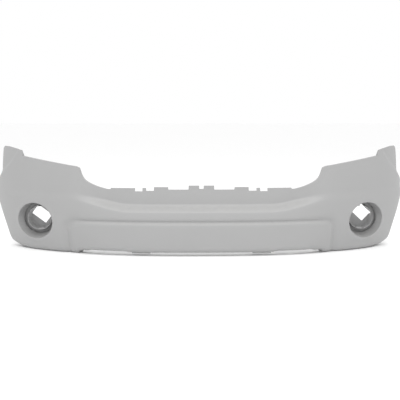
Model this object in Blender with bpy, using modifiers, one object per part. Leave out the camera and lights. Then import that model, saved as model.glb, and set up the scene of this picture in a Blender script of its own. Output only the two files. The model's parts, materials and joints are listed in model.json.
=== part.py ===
"""Front bumper cover of a large passenger vehicle, with its fog-lamp cups and hidden fittings.

Metres, +Z up. The front of the cover faces -Y and it is symmetric about X = 0. The origin is at the
middle of the bounding box's bottom, so the cover stands on Z = 0.
"""

import bpy
import bmesh
import math
from mathutils import Matrix, Vector

# ---- Overall form ---------------------------------------------------------------------------------
HALF_WIDTH = 0.964          # half width of the plan curve
PLAN_DEPTH = 0.520          # depth of the plan curve at its widest
PLAN_POWER = 2.4            # squareness of the plan curve
FRONT_Y = -0.251            # the front face, with the bounding box centred on Y = 0
WALL = 0.003                # moulding thickness
GAP = 0.0003                # space between touching pieces

# ---- Outline of the moulding ----------------------------------------------------------------------
CENTRE_TOP = 0.2615         # edge under the grille
CORNER_TOP = 0.3593         # where the grille edge meets the headlamp edge
RISE_START = 0.405
RISE_KNEE = 0.523           # the upward sweep turns into the headlamp edge between these
RISE_END = 0.537
KNEE_POWER = 0.7
SOFT_RISE = (0.0525, 1.75)  # height and power of the sweep's gentle part
SHARP_RISE = (0.0370, 14.0) # and of its steep end
HEADLAMP_SLOPE = 0.145      # rise of the headlamp edge per metre of width
FLANGE_START = 0.792        # inboard end of the flange that the wing panel overlaps
FLANGE_TOP = (0.4205, 0.4345)
FLANGE_RISE = (0.65, 0.8)   # share of the flange's length over which its top climbs, and the power
FLANGE_TIP = 0.012          # how far the flange's outer top corner is rounded down
FLANGE_TIP_FROM = 0.88      # share of the flange's length where that rounding starts
FLANGE_PAIR = 0.0015        # half width of the step at the flange's inboard end
JOGGLE_START = (0.826, 0.416)  # plan position and height where the step in the surface begins
JOGGLE_END = (0.9195, 0.313)
JOGGLE_POWER = 0.75
JOGGLE_HALF = 0.011
JOGGLE_STEEPNESS = 0.7
JOGGLE_DEPTH = 0.008        # how far the wing panel's flange is stepped in
ARCH_END = 0.9625           # plan position of the wheel-arch edge, at its widest
ARCH_SWEEP = 0.086          # how far the arch edge comes forward at the bottom
ARCH_SWEEP_POWER = 1.5
ARCH_UPPER_SWEEP = 0.042    # and above the widest point
ARCH_UPPER_SPAN = (0.250, 0.315)
ARCH_WIDEST = 0.250         # height of the widest point
ARCH_CORNER = 0.020         # radius of the bottom corner at the wheel arch
SWEEP_START = 0.838         # columns beyond this lean with the wheel-arch edge
CENTRE_BOTTOM = -0.002      # the centre's bottom edge, measured like every height from the datum
RAISED_EDGE = 0.0015        # the bottom edge outboard of the lower tabs
RAISED_SPAN = (0.305, 0.325)
SILL_EDGE = -0.003
SILL_SPAN = (0.470, 0.500)
WING_BOTTOM = -0.0165       # the wings hang lowest, so the part stands on them
WING_BOTTOM_SPAN = (0.520, 0.545)
WING_BOTTOM_SLOPE = 0.12    # rise of the wing's bottom edge towards the arch
WING_BOTTOM_FROM = 0.780

# ---- Upper band, step and belt --------------------------------------------------------------------
BAND_SET_IN = 0.060         # how far the band under the grille is set back, at its top
CREASE_SET_IN = 0.053
CREASE_HEIGHT = 0.202
CREASE_RISE = 0.050         # how far the crease climbs towards the wing
BELT_SET_IN = 0.004
BAND_ROWS = (0.0, 0.12, 0.25, 0.38, 0.52, 0.75, 1.0)   # rows of the band, from its top to the crease
# The step below the crease: how far down, and the set-in there.
STEP_ROWS = ((0.006, 0.046), (0.014, 0.031), (0.023, 0.018), (0.034, 0.009), (0.046, 0.005))
WING_MORPH_START = 0.400    # between these the band and step fade into the plain wing
WING_MORPH_END = 0.570
WING_UPPER_CURVE = 0.30     # lean-back of the wing above and below its widest height, per metre
WING_LOWER_CURVE = 0.45
WING_UPPER_FROM = 0.250
WING_LOWER_FROM = 0.220
WING_SHELF = 0.005          # soft shoulder that runs on along the wing from the centre's step
WING_SHELF_SPAN = (0.205, 0.250)

# ---- Raised lower panel ---------------------------------------------------------------------------
PANEL_HALF = 0.575
PANEL_TOP = 0.127
PANEL_CORNER = 0.045
GROOVE_DEPTH = 0.009
SIDE_GROOVE_DEPTH = 0.008
GROOVE_HALF = 0.008
SIDE_GROOVE_WIDER = 1.8     # the side groove against the top one

# ---- Edges ----------------------------------------------------------------------------------------
BOTTOM_ROLL = 0.018
BOTTOM_LIP = 0.034
EDGE_LIP = 0.012
ARCH_LIP = 0.022            # return lip along the wheel arch
ARCH_LIP_TOP = (0.240, 0.300)
LIP_NARROWS_FROM = 0.820

# ---- Tabs along the grille edge: inner x, outer x, top --------------------------------------------
GRILLE_TABS = (
    (0.0095, 0.0550, 0.2782),
    (0.1430, 0.2055, 0.2715),
    (0.2410, 0.2560, 0.2675),
    (0.2900, 0.3985, 0.2670),
)
GRILLE_NOTCHES = ((0.2055, 0.2410, 0.2565), (0.2560, 0.2900, 0.2535))
TAB_ROOT = 0.016            # overlap of a tab with the band
LOWER_TAB = (0.219, 0.298)
LOWER_TAB_LENGTH = 0.040
LOWER_TAB_DROP = 0.0045     # how far the tabs lie below the centre's bottom edge
LEDGE_TAB = (0.640, 0.700)
LEDGE_TAB_LENGTH = 0.030
LEDGE_DROP = 0.015          # how far the ledges lie below the headlamp edge

# ---- Fog-lamp recess and cup: places are (x, z), depths are behind the front of the cover ----------
RING_CENTRE = (0.728, 0.1145)
RING_RADII = (0.0835, 0.0790)       # the flared mouth on the skin, across and up
THROAT_CENTRE = (0.7195, 0.1180)
THROAT_RADIUS = 0.070
THROAT_FRONT = 0.245
THROAT_BACK = 0.270
AIR_FRONT = 0.060
FOG_FLANGE_RADIUS = 0.088
FOG_FLANGE_THICK = 0.004
CUP_RIM_RADIUS = 0.054
CUP_BACK_RADIUS = 0.048
CUP_WALL = 0.0025
CUP_RIM_FRONT = 0.236
CUP_BACK = 0.284
CUP_FILLET = 0.005
CUP_FLANGE_RADIUS = 0.087
CUP_SCREWS = 3
CUP_SCREW_CIRCLE = 0.0805
# Window in the back of each cup: length, width, tilt, offset outwards, offset up.
WINDOWS = {
    "left": (0.076, 0.048, math.radians(37.0), -0.002, 0.012),
    "right": (0.067, 0.054, math.radians(43.0), 0.010, 0.019),
}

# ---- Fasteners ------------------------------------------------------------------------------------
SCREW_RADIUS = 0.0021
SCREW_HEAD_RADIUS = 0.0050
SCREW_HEAD_HEIGHT = 0.0028
SCREW_LENGTH = 0.011
STUD_RADIUS = 0.0035
STUD_LENGTH = 0.012
PUSH_NUT_RADIUS = 0.0085
PUSH_NUT_THICK = 0.0012
PUSH_NUT_GAP = 0.0018       # clears the bend of the strip beneath the nut
CLIP_WIDTH = 0.016
CLIP_LENGTH = 0.015
CLIP_SHEET = 0.0009
CLIP_GAP = 0.0010
SEGMENTS_ROUND = 36
SEGMENTS_SMALL = 10

# ---- Hidden reinforcement strips ------------------------------------------------------------------
STRIP_THICK = 0.0022
UPPER_STRIP_HALF = 0.400
UPPER_STRIP_HEIGHTS = (0.2165, 0.2425)
UPPER_STUDS = (0.070, 0.215, 0.340)
FENDER_STRIP = (4, 8)       # columns of the flange where the strip starts and ends
FENDER_STUDS = (5, 7)
FENDER_STRIP_HALF = 0.010
FENDER_STRIP_DROP = 0.020   # how far its middle lies below the flange's top edge
LOWER_STRIP_HALF = 0.190
LOWER_STRIP_SET_INS = (0.028, 0.048)
LOWER_SCREWS = (0.060, 0.165)
ARCH_CLIP_HEIGHTS = (0.083, 0.1685)
BOTTOM_CLIPS = (0.360, 0.450)
STRIP_GAP = 0.0006

# ---- Finishes: colour, roughness, metallic --------------------------------------------------------
PRIMER = ((0.50, 0.50, 0.50), 0.45, 0.0)
CUP_PLASTIC = ((0.46, 0.46, 0.46), 0.50, 0.0)
STRIP_PLASTIC = ((0.05, 0.05, 0.055), 0.60, 0.0)
ZINC_STEEL = ((0.62, 0.62, 0.60), 0.35, 1.0)
SPRING_STEEL = ((0.16, 0.16, 0.17), 0.40, 1.0)


# ---- Scene helpers --------------------------------------------------------------------------------
def clear_scene():
    for thing in list(bpy.data.objects):
        bpy.data.objects.remove(thing, do_unlink=True)


def new_collection(name):
    collection = bpy.data.collections.new(name)
    bpy.context.scene.collection.children.link(collection)
    return collection


def finish_material(name, finish):
    colour, roughness, metallic = finish
    material = bpy.data.materials.new(name)
    material.use_nodes = True
    shader = material.node_tree.nodes["Principled BSDF"]
    shader.inputs["Base Color"].default_value = (*colour, 1.0)
    shader.inputs["Roughness"].default_value = roughness
    shader.inputs["Metallic"].default_value = metallic
    return material


def new_object(name, mesh, collection, material=None):
    thing = bpy.data.objects.new(name, mesh)
    collection.objects.link(thing)
    if material:
        mesh.materials.append(material)
    return thing


def mesh_from_bmesh(name, bm):
    mesh = bpy.data.meshes.new(name)
    bm.to_mesh(mesh)
    bm.free()
    return mesh


def shade(thing, angle=math.radians(35.0)):
    thing.data.shade_smooth()
    thing.data.set_sharp_from_angle(angle=angle)


def add_boolean(thing, tool, operation):
    modifier = thing.modifiers.new(operation.title() + "_" + tool.name, "BOOLEAN")
    modifier.operation = operation
    modifier.solver = "EXACT"
    modifier.object = tool


def as_tool(thing):
    thing.hide_render = True
    thing.display_type = "WIRE"


# ---- Small formulas -------------------------------------------------------------------------------
def smooth_step(low, high, value):
    share = min(max((value - low) / (high - low), 0.0), 1.0)
    return share * share * (3.0 - 2.0 * share)


def mix(first, second, share):
    return first + (second - first) * share


def steps(first, last, count):
    return [mix(first, last, index / count) for index in range(count + 1)]


# ---- The surface of the cover ---------------------------------------------------------------------
def plan_depth(x):
    """Depth of the outermost surface behind the front, at half-width x."""
    share = min(x / HALF_WIDTH, 1.0) ** PLAN_POWER
    return PLAN_DEPTH * (1.0 - math.sqrt(max(1.0 - share, 0.0)))


def plan_normal(x):
    """Unit vector in plan that points into the cover."""
    step = 0.0005
    low = min(max(x - step, 0.0), HALF_WIDTH - 2.0 * step)
    slope = (plan_depth(low + 2.0 * step) - plan_depth(low)) / (2.0 * step)
    if x < step:
        slope = 0.0
    return Vector((-slope, 1.0, 0.0)).normalized()


def skin_point(x, z, set_in):
    """Point of the right half at plan position x and height z, set in from the plan curve."""
    normal = plan_normal(x)
    return Vector((x, FRONT_Y + plan_depth(x), z)) + normal * set_in


def plain_top(x):
    """Top edge without the wing panel's flange."""
    if x < RISE_START:
        return CENTRE_TOP
    line = CORNER_TOP + (x - RISE_END) * HEADLAMP_SLOPE
    share = min((x - RISE_START) / (RISE_KNEE - RISE_START), 1.0)
    sweep = CENTRE_TOP + SOFT_RISE[0] * share ** SOFT_RISE[1] + SHARP_RISE[0] * share ** SHARP_RISE[1]
    return mix(sweep, line, min(max((x - RISE_KNEE) / (RISE_END - RISE_KNEE), 0.0), 1.0) ** KNEE_POWER)


def top_height(x):
    if x < FLANGE_START:
        return plain_top(x)
    share = (x - FLANGE_START) / (ARCH_END - FLANGE_START)
    span, power = FLANGE_RISE
    tip = max(share - FLANGE_TIP_FROM, 0.0) / (1.0 - FLANGE_TIP_FROM)
    return mix(*FLANGE_TOP, min(share / span, 1.0) ** power) - FLANGE_TIP * tip ** 2


def bottom_height(x):
    edge = mix(CENTRE_BOTTOM, RAISED_EDGE, smooth_step(*RAISED_SPAN, x))
    edge = mix(edge, SILL_EDGE, smooth_step(*SILL_SPAN, x))
    edge = mix(edge, WING_BOTTOM, smooth_step(*WING_BOTTOM_SPAN, x))
    edge += WING_BOTTOM_SLOPE * max(x - WING_BOTTOM_FROM, 0.0)
    rounding = min(max(x - (ARCH_END - ARCH_CORNER), 0.0), 0.97 * ARCH_CORNER)
    return edge + ARCH_CORNER - math.sqrt(ARCH_CORNER ** 2 - rounding ** 2)


def joggle(x, z):
    """How far the wing panel's flange is stepped in at plan position x and height z."""
    share = max((x - JOGGLE_START[0]) / (JOGGLE_END[0] - JOGGLE_START[0]), 0.0)
    line = mix(JOGGLE_START[1], JOGGLE_END[1], share ** JOGGLE_POWER) + max(JOGGLE_START[0] - x, 0.0)
    return JOGGLE_DEPTH * smooth_step(-JOGGLE_HALF, JOGGLE_HALF, JOGGLE_STEEPNESS * (z - line))


def crease_height(x):
    return CREASE_HEIGHT + CREASE_RISE * smooth_step(0.30, 0.60, x)


def wing_set_in(z):
    upper = max(z - WING_UPPER_FROM, 0.0)
    lower = max(WING_LOWER_FROM - z, 0.0)
    shelf = WING_SHELF * smooth_step(*WING_SHELF_SPAN, z)
    return WING_UPPER_CURVE * upper ** 2 + WING_LOWER_CURVE * lower ** 2 + shelf


def panel_distance(x, z):
    """Signed distance to the raised panel's outline, negative on the panel."""
    across = x - (PANEL_HALF - PANEL_CORNER)
    above = z - (PANEL_TOP - PANEL_CORNER)
    outside = math.hypot(max(across, 0.0), max(above, 0.0))
    return outside + min(max(across, above), 0.0) - PANEL_CORNER


def panel_groove(x, z):
    distance = panel_distance(x, z)
    on_side = smooth_step(PANEL_HALF - 2.0 * PANEL_CORNER, PANEL_HALF, x)
    depth = mix(GROOVE_DEPTH, SIDE_GROOVE_DEPTH, on_side)
    width = GROOVE_HALF * mix(1.0, SIDE_GROOVE_WIDER, on_side)
    return depth * math.exp(-((distance / width) ** 2))


def bottom_roll(x, z):
    above = z - bottom_height(x)
    if above >= BOTTOM_ROLL:
        return 0.0
    inside = BOTTOM_ROLL - max(above, 0.0)
    return BOTTOM_ROLL - math.sqrt(BOTTOM_ROLL ** 2 - inside ** 2)


def centre_rows(x):
    """Heights and set-ins of the centre section's rows, from the top edge down to the roll."""
    top = top_height(x)
    crease = crease_height(x)
    rows = []
    for share in BAND_ROWS:
        rows.append((mix(top, crease, share), mix(BAND_SET_IN, CREASE_SET_IN, share)))
    for drop, set_in in STEP_ROWS:
        rows.append((crease - drop, set_in))
    low = PANEL_TOP + 0.5 * GROOVE_HALF
    rows.append((mix(rows[-1][0], low, 0.5), BELT_SET_IN))
    for height in (low, PANEL_TOP, PANEL_TOP - 0.5 * GROOVE_HALF, PANEL_TOP - 1.2 * GROOVE_HALF):
        on_panel = smooth_step(PANEL_TOP + GROOVE_HALF, PANEL_TOP - 1.2 * GROOVE_HALF, height)
        rows.append((height, mix(BELT_SET_IN, 0.0, on_panel)))
    edge = bottom_height(x)
    for height in steps(PANEL_TOP - 2.2 * GROOVE_HALF, edge + BOTTOM_ROLL, 4):
        rows.append((height, 0.0))
    for share in (0.55, 0.22, 0.0):
        rows.append((edge + BOTTOM_ROLL * share, 0.0))
    return rows


def section(x):
    """The full section at plan position x: edge lip, face, bottom roll and bottom lip."""
    morph = smooth_step(WING_MORPH_START, WING_MORPH_END, x)
    face = []
    for height, set_in in centre_rows(x):
        depth = mix(set_in, wing_set_in(height), morph)
        depth += panel_groove(x, height) + bottom_roll(x, height)
        if x > WING_MORPH_END:
            depth += joggle(x, height)
        face.append((height, depth))
    lip = mix(BOTTOM_LIP, ARCH_LIP, smooth_step(LIP_NARROWS_FROM, ARCH_END, x))
    upper_lip = (face[0][0], face[0][1] + top_lip_width(x))
    lower_lip = (face[-1][0], face[-1][1] + lip)
    return [upper_lip] + face + [lower_lip]


def top_lip_width(x):
    """The return lip behind the headlamp edge; the grille edge and the wing flange have none."""
    if x > FLANGE_START:
        return 0.0
    return EDGE_LIP * smooth_step(RISE_START, RISE_START + 2.5 * EDGE_LIP, x)


def arch_end(z):
    above_ground = min(max(z, 0.0) / ARCH_WIDEST, 1.0)
    low = 1.0 - above_ground ** ARCH_SWEEP_POWER
    high = smooth_step(*ARCH_UPPER_SPAN, z)
    return ARCH_END - ARCH_SWEEP * low - ARCH_UPPER_SWEEP * high


def arch_lip_width(z):
    return mix(ARCH_LIP, EDGE_LIP, smooth_step(*ARCH_LIP_TOP, z))


def even_along(low, high, count):
    """Plan positions from low to high, evenly spaced along the plan curve."""
    fine = steps(low, high, 40 * count)
    lengths = [0.0]
    for first, second in zip(fine, fine[1:]):
        lengths.append(lengths[-1] + math.hypot(second - first, plan_depth(second) - plan_depth(first)))
    picked = []
    for number in range(count + 1):
        target = lengths[-1] * number / count
        nearest = min(range(len(fine)), key=lambda index: abs(lengths[index] - target))
        picked.append(fine[nearest])
    return picked


def flange_columns():
    return even_along(FLANGE_START + FLANGE_PAIR, ARCH_END, 10)


def column_positions():
    """Plan positions of the columns, closest where the outline and the panel turn."""
    columns = steps(0.0, WING_MORPH_START, 6)
    columns += steps(WING_MORPH_START, RISE_END, 9)[1:]
    columns += steps(RISE_END, PANEL_HALF + 2.0 * GROOVE_HALF, 4)[1:]
    columns += steps(PANEL_HALF + 2.0 * GROOVE_HALF, FLANGE_START - FLANGE_PAIR, 6)[1:]
    columns += flange_columns()
    return columns


def leaning(x, z):
    """Plan position at height z of the column at x, which leans with the wheel-arch edge."""
    share = max(x - SWEEP_START, 0.0) / (ARCH_END - SWEEP_START)
    return x - share * (ARCH_END - arch_end(z))


def half_skin_grid():
    rows = []
    for x in column_positions():
        line = []
        for height, set_in in section(x):
            line.append((leaning(x, height), height, set_in))
        rows.append(line)
    arch_lip = [(along, height, set_in + arch_lip_width(height)) for along, height, set_in in rows[-1]]
    arch_lip[0] = arch_lip[1]
    arch_lip[-1] = arch_lip[-2]
    rows.append(arch_lip)
    return [[skin_point(*entry) for entry in line] for line in rows]


def grid_mesh(name, grid, outward=(0.0, -1.0, 0.0)):
    """A loft through a grid of points, with its faces turned towards outward."""
    bm = bmesh.new()
    lines = [[bm.verts.new(point) for point in line] for line in grid]
    for first, second in zip(lines, lines[1:]):
        for index in range(len(first) - 1):
            bm.faces.new((first[index], first[index + 1], second[index + 1], second[index]))
    bmesh.ops.remove_doubles(bm, verts=bm.verts, dist=1e-5)
    bmesh.ops.dissolve_degenerate(bm, dist=1e-5, edges=bm.edges)
    bmesh.ops.recalc_face_normals(bm, faces=bm.faces)
    bm.normal_update()
    if sum(face.normal.dot(Vector(outward)) * face.calc_area() for face in bm.faces) < 0.0:
        bmesh.ops.reverse_faces(bm, faces=bm.faces)
    return mesh_from_bmesh(name, bm)


def add_mirror(thing):
    modifier = thing.modifiers.new("Mirror", "MIRROR")
    modifier.use_axis = (True, False, False)
    modifier.merge_threshold = 0.0001


def add_wall(thing, thickness):
    modifier = thing.modifiers.new("Wall", "SOLIDIFY")
    modifier.thickness = thickness
    modifier.offset = -1.0
    modifier.use_even_offset = True
    modifier.use_quality_normals = True


# ---- Pieces of the moulding -----------------------------------------------------------------------
def block(name, low, high, collection):
    """A box from its lowest to its highest corner."""
    bm = bmesh.new()
    bmesh.ops.create_cube(bm, size=1.0)
    size = Vector(high) - Vector(low)
    bmesh.ops.scale(bm, vec=size, verts=bm.verts)
    bmesh.ops.translate(bm, vec=(Vector(high) + Vector(low)) / 2.0, verts=bm.verts)
    thing = new_object(name, mesh_from_bmesh(name, bm), collection)
    as_tool(thing)
    return thing


def drum(name, centre, direction, radius, length, collection, end_radius=None, segments=SEGMENTS_ROUND):
    """A solid cylinder or cone that starts at centre and runs along direction."""
    bm = bmesh.new()
    far = radius if end_radius is None else end_radius
    bmesh.ops.create_cone(
        bm, cap_ends=True, segments=segments, radius1=radius, radius2=far, depth=length
    )
    bmesh.ops.translate(bm, vec=(0.0, 0.0, length / 2.0), verts=bm.verts)
    turn = Vector(direction).to_track_quat("Z", "Y").to_matrix().to_4x4()
    bmesh.ops.transform(bm, matrix=Matrix.Translation(centre) @ turn, verts=bm.verts)
    thing = new_object(name, mesh_from_bmesh(name, bm), collection)
    as_tool(thing)
    return thing


def tab_frame(side, x):
    """Placement of a flat tab at plan position x: X along the edge, Y into the cover."""
    normal = plan_normal(x)
    inward = Vector((side * normal.x, normal.y, 0.0))
    along = Vector((inward.y, -inward.x, 0.0))
    place = Matrix((along, inward, Vector((0.0, 0.0, 1.0)))).transposed().to_4x4()
    origin = skin_point(x, 0.0, 0.0)
    place.translation = Vector((side * origin.x, origin.y, 0.0))
    return place


def grille_tabs(collection):
    tabs = []
    for side in (-1.0, 1.0):
        for number, (inner, outer, top) in enumerate(GRILLE_TABS, start=1):
            half = (outer - inner) / 2.0
            front = BAND_SET_IN + 0.1 * WALL
            low = (-half, front, CENTRE_TOP - TAB_ROOT)
            high = (half, front + 0.8 * WALL, top)
            tab = block(f"grille_tab_{side_name(side)}_{number}", low, high, collection)
            tab.data.transform(tab_frame(side, inner + half))
            tabs.append(tab)
    return tabs


def grille_notches(collection):
    notches = []
    for side in (-1.0, 1.0):
        for number, (inner, outer, floor) in enumerate(GRILLE_NOTCHES, start=1):
            half = (outer - inner) / 2.0
            low = (-half, BAND_SET_IN - 3.0 * WALL, floor)
            high = (half, BAND_SET_IN + 3.0 * WALL, CENTRE_TOP + TAB_ROOT)
            notch = block(f"grille_notch_{side_name(side)}_{number}", low, high, collection)
            notch.data.transform(tab_frame(side, inner + half))
            notches.append(notch)
    return notches


def lower_tabs(collection):
    tabs = []
    inner, outer = LOWER_TAB
    for side in (-1.0, 1.0):
        half = (outer - inner) / 2.0
        low = (-half, BOTTOM_ROLL, CENTRE_BOTTOM - LOWER_TAB_DROP)
        high = (half, BOTTOM_ROLL + LOWER_TAB_LENGTH, CENTRE_BOTTOM + 0.6 * WALL)
        tab = block(f"lower_tab_{side_name(side)}", low, high, collection)
        tab.data.transform(tab_frame(side, inner + half))
        tabs.append(tab)
    return tabs


def ledge_tabs(collection):
    """Flat shelves under the headlamps, on the back of the headlamp edge."""
    tabs = []
    inner, outer = LEDGE_TAB
    middle = (inner + outer) / 2.0
    height = top_height(inner) - LEDGE_DROP
    for side in (-1.0, 1.0):
        front = wing_set_in(height) + 0.5 * WALL
        low = (inner - middle, front, height - WALL)
        high = (outer - middle, front + LEDGE_TAB_LENGTH, height)
        tab = block(f"ledge_tab_{side_name(side)}", low, high, collection)
        tab.data.transform(tab_frame(side, middle))
        tabs.append(tab)
    return tabs


def side_name(side):
    return "left" if side < 0.0 else "right"


def stud_places():
    """Moulded studs on the back of the skin: root, direction, for each strip they hold."""
    places = {"upper": [], "left": [], "right": []}
    upper_height = sum(UPPER_STRIP_HEIGHTS) / 2.0
    for side in (-1.0, 1.0):
        for x in UPPER_STUDS:
            places["upper"].append(on_skin(side, x, upper_height, band_set_in(upper_height) + 0.5 * WALL))
        for number in FENDER_STUDS:
            x = flange_columns()[number]
            height = fender_strip_middle(x)
            root = wing_set_in(height) + JOGGLE_DEPTH + 0.5 * WALL
            places[side_name(side)].append(on_skin(side, leaning(x, height), height, root))
    return places


def band_set_in(height):
    share = (CENTRE_TOP - height) / (CENTRE_TOP - CREASE_HEIGHT)
    return mix(BAND_SET_IN, CREASE_SET_IN, share)


def on_skin(side, x, height, set_in):
    point = skin_point(x, height, set_in)
    normal = plan_normal(x)
    return Vector((side * point.x, point.y, point.z)), Vector((side * normal.x, normal.y, 0.0))


def fender_strip_middle(x):
    return top_height(x) - FENDER_STRIP_DROP


def fog_point(side, place, depth):
    return Vector((side * place[0], FRONT_Y + depth, place[1]))


def cup_screw_places(side):
    """Centres of the cup screws on their circle, in the plane of the throat's rear face."""
    places = []
    for number in range(CUP_SCREWS):
        angle = math.radians(90.0) + number * 2.0 * math.pi / CUP_SCREWS
        offset = Vector((side * math.cos(angle), 0.0, math.sin(angle))) * CUP_SCREW_CIRCLE
        places.append(fog_point(side, THROAT_CENTRE, THROAT_BACK) + offset)
    return places


def surface_depth(x, z):
    """Depth of the outer surface straight behind the point (x, z) of the right half."""
    plan = x
    for _ in range(4):
        set_in = wing_set_in(z)
        plan = x - plan_normal(plan).x * set_in
    return plan_depth(plan) + plan_normal(plan).y * set_in


def ring_of(side, centre, radii, depth_at):
    points = []
    for number in range(SEGMENTS_ROUND):
        angle = 2.0 * math.pi * number / SEGMENTS_ROUND
        x = centre[0] + radii[0] * math.cos(angle)
        z = centre[1] + radii[1] * math.sin(angle)
        points.append(Vector((side * x, FRONT_Y + depth_at(x, z), z)))
    return points


def recess_loft(name, side, grow, front_rings, back, collection):
    """Closed loft from the mouth on the skin to the round throat, grown outwards by grow."""
    mouth = (RING_RADII[0] + grow, RING_RADII[1] + grow)
    throat = (THROAT_RADIUS + grow, THROAT_RADIUS + grow)
    rings = [ring_of(side, RING_CENTRE, mouth, depth_at) for depth_at in front_rings]
    for depth in (THROAT_FRONT, back):
        rings.append(ring_of(side, THROAT_CENTRE, throat, lambda x, z, depth=depth: depth))
    bm = bmesh.new()
    loops = [[bm.verts.new(point) for point in ring] for ring in rings]
    for first, second in zip(loops, loops[1:]):
        for index in range(SEGMENTS_ROUND):
            after = (index + 1) % SEGMENTS_ROUND
            bm.faces.new((first[index], first[after], second[after], second[index]))
    for loop in (loops[0], loops[-1]):
        cap = bm.faces.new(loop)
        bmesh.ops.triangulate(bm, faces=[cap])
    bmesh.ops.recalc_face_normals(bm, faces=bm.faces)
    thing = new_object(name, mesh_from_bmesh(name, bm), collection)
    as_tool(thing)
    return thing


def fog_boss(side, collection):
    """The flared wall round a recess, from the skin back to a flat flange."""
    name = side_name(side)
    mouth = [lambda x, z: surface_depth(x, z) + 0.5 * WALL]
    wall = recess_loft(f"flare_{name}", side, WALL, mouth, THROAT_BACK, collection)
    flange = drum(
        f"fog_flange_{name}", fog_point(side, THROAT_CENTRE, THROAT_BACK - FOG_FLANGE_THICK), (0.0, 1.0, 0.0),
        FOG_FLANGE_RADIUS, FOG_FLANGE_THICK, collection,
    )
    return [wall, flange]


def fog_cutter(side, collection):
    """The air inside a recess, run past the skin in front and the flange behind."""
    front = [lambda x, z: AIR_FRONT, surface_depth]
    return recess_loft(f"fog_air_{side_name(side)}", side, 0.0, front, THROAT_BACK + 2.0 * WALL, collection)


def screw_hole(name, place, direction, collection):
    along = Vector(direction)
    start = Vector(place) - along * 2.0 * SCREW_LENGTH
    return drum(
        name, start, direction, SCREW_RADIUS + GAP, 4.0 * SCREW_LENGTH, collection, segments=SEGMENTS_SMALL
    )


def bumper_skin(parts, tools, material, holes):
    skin = new_object("bumper_skin", grid_mesh("bumper_skin", half_skin_grid()), parts, material)
    shade(skin)
    add_mirror(skin)
    add_wall(skin, WALL)
    joined = grille_tabs(tools) + lower_tabs(tools) + ledge_tabs(tools)
    for side in (-1.0, 1.0):
        joined += fog_boss(side, tools)
    for strip, places in stud_places().items():
        for number, (root, direction) in enumerate(places, start=1):
            name = f"stud_{strip}_{number}"
            joined.append(drum(name, root, direction, STUD_RADIUS, STUD_LENGTH, tools, segments=SEGMENTS_SMALL))
    for tool in joined:
        add_boolean(skin, tool, "UNION")
    for notch in grille_notches(tools):
        add_boolean(skin, notch, "DIFFERENCE")
    for side in (-1.0, 1.0):
        add_boolean(skin, fog_cutter(side, tools), "DIFFERENCE")
    for hole in holes:
        add_boolean(skin, hole, "DIFFERENCE")
    return skin


# ---- Fog-lamp cups --------------------------------------------------------------------------------
def turned(name, profile, collection, material, segments=SEGMENTS_ROUND):
    """A turned solid about Z from an outline of (radius, height) that starts and ends on the axis
    or closes on itself."""
    bm = bmesh.new()
    points = [bm.verts.new((radius, 0.0, height)) for radius, height in profile]
    for first, second in zip(points, points[1:]):
        bm.edges.new((first, second))
    if profile[0][0] > 0.0:
        bm.edges.new((points[-1], points[0]))
    thing = new_object(name, mesh_from_bmesh(name, bm), collection, material)
    screw = thing.modifiers.new("Turn", "SCREW")
    screw.steps = segments
    screw.render_steps = segments
    screw.use_merge_vertices = True
    screw.merge_threshold = 0.00001
    return thing


def point_along(thing, place, direction):
    """Stand a piece on place with its local Z along direction."""
    thing.location = place
    thing.rotation_mode = "QUATERNION"
    thing.rotation_quaternion = Vector(direction).to_track_quat("Z", "Y")


def cup_profile():
    """Radius and height above the throat's rear face, of the cup's section."""
    rim = THROAT_BACK - CUP_RIM_FRONT
    floor = THROAT_BACK - CUP_BACK
    under = -GAP - FOG_FLANGE_THICK
    soft = CUP_WALL / 3.0
    return [
        (0.0, floor),
        (CUP_BACK_RADIUS - CUP_FILLET, floor),
        (CUP_BACK_RADIUS - 0.3 * CUP_FILLET, floor + 0.3 * CUP_FILLET),
        (CUP_BACK_RADIUS, floor + CUP_FILLET),
        (CUP_RIM_RADIUS - CUP_WALL, rim - soft),
        (CUP_RIM_RADIUS - CUP_WALL + soft, rim),
        (CUP_RIM_RADIUS - soft, rim),
        (CUP_RIM_RADIUS, rim - soft),
        (CUP_RIM_RADIUS, -GAP),
        (CUP_FLANGE_RADIUS, -GAP),
        (CUP_FLANGE_RADIUS, under),
        (CUP_BACK_RADIUS + CUP_WALL, under),
        (CUP_BACK_RADIUS + CUP_WALL, floor),
        (CUP_BACK_RADIUS + CUP_WALL - CUP_FILLET, floor - CUP_WALL),
        (0.0, floor - CUP_WALL),
    ]


def fog_cup(side, parts, tools, material):
    name = side_name(side)
    cup = turned(f"{name}_fog_cup", cup_profile(), parts, material)
    place = fog_point(side, THROAT_CENTRE, THROAT_BACK)
    point_along(cup, place, (0.0, -1.0, 0.0))
    length, width, tilt, out, up = WINDOWS[name]
    half = Vector((length / 2.0, 2.0 * CUP_WALL, width / 2.0))
    window = block(f"{name}_window", -half, half, tools)
    window.location = fog_point(side, THROAT_CENTRE, CUP_BACK) + Vector((side * out, 0.0, up))
    window.rotation_euler = (0.0, tilt, 0.0)
    add_boolean(cup, window, "DIFFERENCE")
    for number, hole in enumerate(cup_screw_places(side), start=1):
        add_boolean(cup, screw_hole(f"{name}_cup_hole_{number}", hole, (0.0, 1.0, 0.0), tools), "DIFFERENCE")
    return cup


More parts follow.
